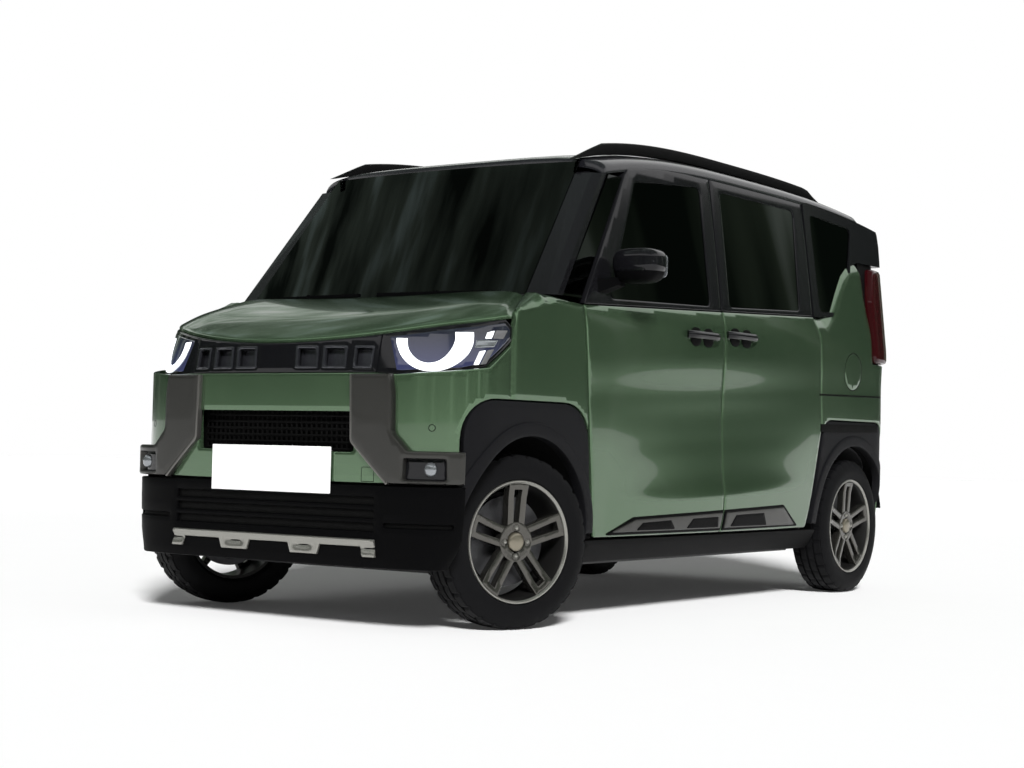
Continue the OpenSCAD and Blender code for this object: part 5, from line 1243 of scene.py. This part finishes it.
# Mirrors
for side_name, flip in FLIPS.items():
    (xa, xb), (ya, y1), (za, z1) = (span("mirror_" + side_name, axis) for axis in range(3))
    x0, x1 = HALF_W - 6, max(abs(xa), abs(xb))
    y0, z0 = ya + 56, za + 40
    cx, cy, cz = (x0 + x1) / 2, (y0 + y1) / 2, (z0 + z1) / 2
    hx, hy, hz = (x1 - x0) / 2, (y1 - y0) / 2, (z1 - z0) / 2
    cap = superbox((cx, cy, cz + 14), (hx, hy, hz - 14), 3.4)
    bowl = superbox((cx - 2, cy + 2, cz - 6), (hx - 6, hy - 3, hz - 8), 3.4)
    arm_foot = [(HALF_W - 26 - 6 * k, y, za + 56 * k) for k in (0, 1) for y in (ya, ya + 64)]
    arm_end = [(HALF_W + 30, y, z) for z in (za + 34, za + 62) for y in (y0 + 10, y0 + 60)]
    arm = hull_of(arm_foot + arm_end)
    strip = [(x0 + 90 + 86 * t, y0 + 4 + 16 * t ** 3, cz + 12) for t in np.linspace(0, 1, 14)]
    pane = superbox((cx + 4, y1 - 3, cz + 4), (hx - 16, 3, hz - 18), 5, 20)
    body = "door_" + side_name
    to_object("mirror_cap_" + side_name, *flip(cap), GLOSS_BLACK, body, ["mirror_" + side_name])
    to_object("mirror_bowl_" + side_name, *flip(joined(bowl, arm)), PLASTIC, body)
    to_object("mirror_strip_" + side_name, *flip(tube(strip, 4, 8)), LAMP_DULL, body)
    to_object("mirror_pane_" + side_name, *flip(pane), LAMP_DULL, body)


# Handles: a bar over two round cups, which are near-black blobs of painted shade for the hand recesses
HANDLE_L = 226


def handle(y0, z):
    x = HALF_W - float(side_tuck(z)) + 7
    ys = np.linspace(y0, y0 + HANDLE_L, 25)
    path = [(x + 20 - 16 * abs(2 * (y - y0) / HANDLE_L - 1) ** 6, y, z) for y in ys]
    bar = tube(path, 13, 12)
    bar[0][:, 2] = z + (bar[0][:, 2] - z) * 1.15
    # The cups are near-black blobs on the skin: painted shade where the hand recesses lie
    cups = [superbox((x + 1, y0 + HANDLE_L * k, z - 6), (5, 40, 36), 2.4, 16) for k in (0.30, 0.72)]
    return bar, joined(*cups)


for side_name, flip in FLIPS.items():
    bar, cups = handle(B_LINE - 72 - HANDLE_L, 1041)
    to_object("door_handle_" + side_name, *flip(bar), SATIN_BLACK, "door_" + side_name)
    to_object("door_cup_" + side_name, *flip(cups), BLACK_AND_SHADE, "door_" + side_name)
bar, cups = handle(B_LINE + 10, 1056)
to_object("slide_handles", *both(bar), SATIN_BLACK, "body")
to_object("slide_cup_shades", *both(cups), BLACK_AND_SHADE, "body")

# Roof rails
rail_x = ROOF_HALF - 100
rail_y = span("roof_rails", 1)
rows = []
for t in np.linspace(0, 1, 41):
    y = rail_y[0] + (rail_y[1] - rail_y[0]) * t
    foot = float(roof_z(rail_x - 17, y)) + 0.8
    rise = 44 * min(1, max(0.02, (y - rail_y[0]) / 190), max(0.02, (rail_y[1] - y) / 110))
    section = [(-15, 0), (15, 0), (15, rise * 0.6), (11, rise * 0.9), (0, rise), (-11, rise * 0.9),
        (-15, rise * 0.6)]
    rows.append([(rail_x + a, y, foot + b) for a, b in section])
rows = np.array(rows)
rail = (rows.reshape(-1, 3), [tuple(reversed(f)) for f in ring_faces(len(rows), rows.shape[1])])
to_object("rail_bars", *both(rail), PLASTIC, "body", ["roof_rails"])


# Fuel flap on the left quarter
FLAP_Y, FLAP_Z, FLAP_HALF = 1232, 964, (88, 84)


def flap_loop(grow):
    half_y, half_z = (half + grow for half in FLAP_HALF)
    circle = round_loop(1, steps=48)
    return np.array(OUTER.side([(FLAP_Y + half_y * u, FLAP_Z + half_z * w) for u, w in circle]))


FLAP_FORM = dict(twin=False, cell=18, bulge=door_crease)
sheets("fuel_groove", OUTER.surface, [[flap_loop(0), flap_loop(-5)]], BLACK_AND_SHADE, depth=-0.4, thick=2,
    roll=0.3, **FLAP_FORM)
sheets("fuel_flap", OUTER.surface, [[flap_loop(-5)]], GREEN, depth=-1.0, thick=3, roll=2, **FLAP_FORM)

# Seats
SEAT_W, LEAN = 470, np.array(Matrix.Rotation(math.radians(-18), 3, "X"))
for node in ("front_seats", "rear_seat"):
    xs, y0 = span(node, 0), span(node, 1)[0]
    places = [(xs[0], -4), (4, xs[1])]
    if node == "front_seats":
        places = [(xs[1] - SEAT_W, xs[1]), (xs[0], xs[0] + SEAT_W)]
    for k, (a, b) in enumerate(places):
        mid, hw = (a + b) / 2, (b - a) / 2
        base = superbox((mid, y0 + 262, 545), (hw - 4, 262, 92), 5)
        back = superbox((0, 0, 0), (hw - 6, 62, 300), 4.5)
        back = (back[0] @ LEAN.T + (mid, y0 + 600, 880), back[1])
        head = superbox((0, 0, 0), (118, 48, 84), 3.4)
        head = (head[0] @ LEAN.T + (mid, y0 + 712, 1228), head[1])
        stalks = [tube([(x, y0 + 680, 1120), (x, y0 + 706, 1200)], 6) for x in (mid - 50, mid + 50)]
        foot = solid_box((mid - hw + 40, y0 + 30, 263), (mid + hw - 40, y0 + 470, 470), 12)
        pads = [to_object("%s_%s_%d" % (node, tag, k), *part, FABRIC, "body")
            for tag, part in (("cushion", base), ("back", back), ("head", head))]
        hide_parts(node)
        to_object("%s_frame_%d" % (node, k), *joined(foot, *stalks), PRIMER, "body")

# CAD nodes that stay
KEPT = [(PRIMER, "floor_pan front_subframe rear_axle"), (SATIN_BLACK, "pillars"), (CAST, "engine_block"),
    (PLASTIC, "dashboard steering_wheel fuel_tank wipers"),
    (STEEL, "exhaust hinges knuckle_left knuckle_right"),
    (GLASS, "fixed_glass door_glass_left door_glass_right tailgate_glass")]
for mat, names in KEPT:
    for node in names.split():
        obj = frame["nodes"][node]
        obj.data.materials.clear()
        obj.data.materials.append(mat)

# Stage: floor, backdrops for reflections, lamp, sky and camera
scene = bpy.context.scene


def stage_mesh(name, points, faces, mat):
    mesh = bpy.data.meshes.new(name)
    mesh.from_pydata(points, [], faces)
    obj = bpy.data.objects.new(name, mesh)
    scene.collection.objects.link(obj)
    obj.data.materials.append(mat)
    return obj


def plane(name, low, high, z, mat):
    corners = [(low[0], low[1], z), (high[0], low[1], z), (high[0], high[1], z), (low[0], high[1], z)]
    return stage_mesh(name, corners, [(0, 1, 2, 3)], mat)


FLOOR_LIFT = 0.03


def floor_material():
    """Pale floor that glows a little for the camera alone, so that it stays white to the picture's edge."""
    mat = material("pale_floor", (0.90, 0.90, 0.90), 0.8, scale=3, variation=0.01, specular=0.1)
    tree = mat.node_tree
    seen = add(tree, "LightPath", "Is Camera Ray")
    lift = add(tree, "MapRange", "Result", Value=seen, To_Max=FLOOR_LIFT)
    settle(tree.nodes["Principled BSDF"], Emission_Color=(1, 1, 1, 1), Emission_Strength=lift)
    return mat


FLOOR_R = 40
plane("floor", (-FLOOR_R, -FLOOR_R), (FLOOR_R, FLOOR_R), 0, floor_material())


def grove_material(name, dark, middle, bright, stretch, gaps):
    """Backdrop of drawn-out light streaks on dark, like trees around a clearing."""
    mat, tree = new_material(name)
    tree.nodes.remove(tree.nodes["Principled BSDF"])
    place = add(tree, "Mapping", "Vector", Vector=add(tree, "TexCoord", "Object"), Scale=stretch)
    noise = add(tree, "TexNoise", "Fac", Vector=place, Scale=1.0, Detail=4)
    ramp = settle(tree.nodes.new("ShaderNodeValToRGB"), Fac=noise)
    colours = ramp.color_ramp.elements
    colours[0].position, colours[0].color = gaps[0], (*dark, 1)
    colours[1].position, colours[1].color = gaps[2], (*bright, 1)
    colours.new(gaps[1]).color = (*middle, 1)
    glow = add(tree, "Emission", "Emission", Color=ramp.outputs["Color"])
    settle(tree.nodes["Material Output"], Surface=glow)
    return mat


def for_reflections(obj):
    """Hide a backdrop from everything but reflections."""
    obj.visible_camera = False
    obj.visible_diffuse = False
    obj.visible_shadow = False
    obj.visible_transmission = False


GROVE = grove_material("studio_grove", (0.020, 0.030, 0.022), (0.110, 0.140, 0.100), (0.85, 0.92, 0.85),
    (1.4, 1.4, 0.10), (0.46, 0.58, 0.72))
CANOPY = grove_material("studio_canopy", (0.030, 0.038, 0.032), (0.190, 0.225, 0.190), (0.75, 0.90, 0.90),
    (1.6, 0.5, 1.0), (0.38, 0.54, 0.76))
CLEARING = grove_material("studio_clearing", (0.12, 0.16, 0.12), (0.42, 0.48, 0.42), (1.0, 1.0, 1.0),
    (1.3, 1.3, 1.0), (0.34, 0.50, 0.72))
RING_R, RING_LOW, RING_HIGH, RING_SIDES = 9.0, 0.75, 4.2, 48
ring_points = [(*q, z) for z in (RING_LOW, RING_HIGH) for q in round_loop(RING_R, steps=RING_SIDES)]
ring_sides = ring_faces(2, RING_SIDES)[:RING_SIDES]
SKY_Z = 6.0
for_reflections(stage_mesh("grove_ring", ring_points, ring_sides, GROVE))
for_reflections(plane("canopy", (-9.0, -8.0), (6.0, 3.2), SKY_Z, CANOPY))
for_reflections(plane("clearing", (-12.0, 3.2), (-2.2, 9.0), SKY_Z, CLEARING))


def far_lamp(name, towards, angle, strength):
    """Broad lamp far away, so the floor is lit evenly. The paint mirrors the grove and not the lamp."""
    light = bpy.data.lights.new(name, "SUN")
    light.angle = math.radians(angle)
    light.energy = strength
    obj = bpy.data.objects.new(name, light)
    scene.collection.objects.link(obj)
    obj.rotation_euler = Vector(towards).to_track_quat("Z", "Y").to_euler()
    obj.visible_glossy = False


far_lamp("key", (1.0, -1.10, 1.0), 12, 5.4)

world = bpy.data.worlds.new("studio")
scene.world = world
world.use_nodes = True
tree = world.node_tree
# Dim light from the sky on the surfaces, plain white where camera, reflections and glass see it
SKY_LOW, SKY_HIGH = 0.04, 0.20
height = add(tree, "SeparateXYZ", "Z", Vector=add(tree, "TexCoord", "Generated"))
level = add(tree, "MapRange", "Result", Value=height, To_Min=SKY_LOW, To_Max=SKY_HIGH)
for ray in ("Is Camera Ray", "Is Glossy Ray", "Is Transmission Ray"):
    level = add(tree, "Mix", "Result", Factor=add(tree, "LightPath", ray), A=level, B=1.0)
settle(tree.nodes["Background"], Color=(1, 1, 1, 1), Strength=level)

# The camera that was fitted to the photo
LENS, SENSOR_W, EYE = 65.8, 36, (4.262, -6.321, 0.602)
camera = bpy.data.cameras.new("camera")
camera.lens, camera.sensor_width = LENS, SENSOR_W
camera.clip_end = 200
eye = bpy.data.objects.new("camera", camera)
scene.collection.objects.link(eye)
YAW, PITCH, ROLL = math.radians(35.33), math.radians(1.93), math.radians(1.30)
look = Vector((-math.sin(YAW) * math.cos(PITCH), math.cos(YAW) * math.cos(PITCH), math.sin(PITCH)))
right = Vector((math.cos(YAW), math.sin(YAW), 0))
up = right.cross(look)
right, up = right * math.cos(ROLL) + up * math.sin(ROLL), up * math.cos(ROLL) - right * math.sin(ROLL)
basis = Matrix((right, up, -look)).transposed().to_4x4()
eye.matrix_world = Matrix.Translation(EYE) @ basis
scene.camera = eye
scene.view_settings.view_transform = "Standard"
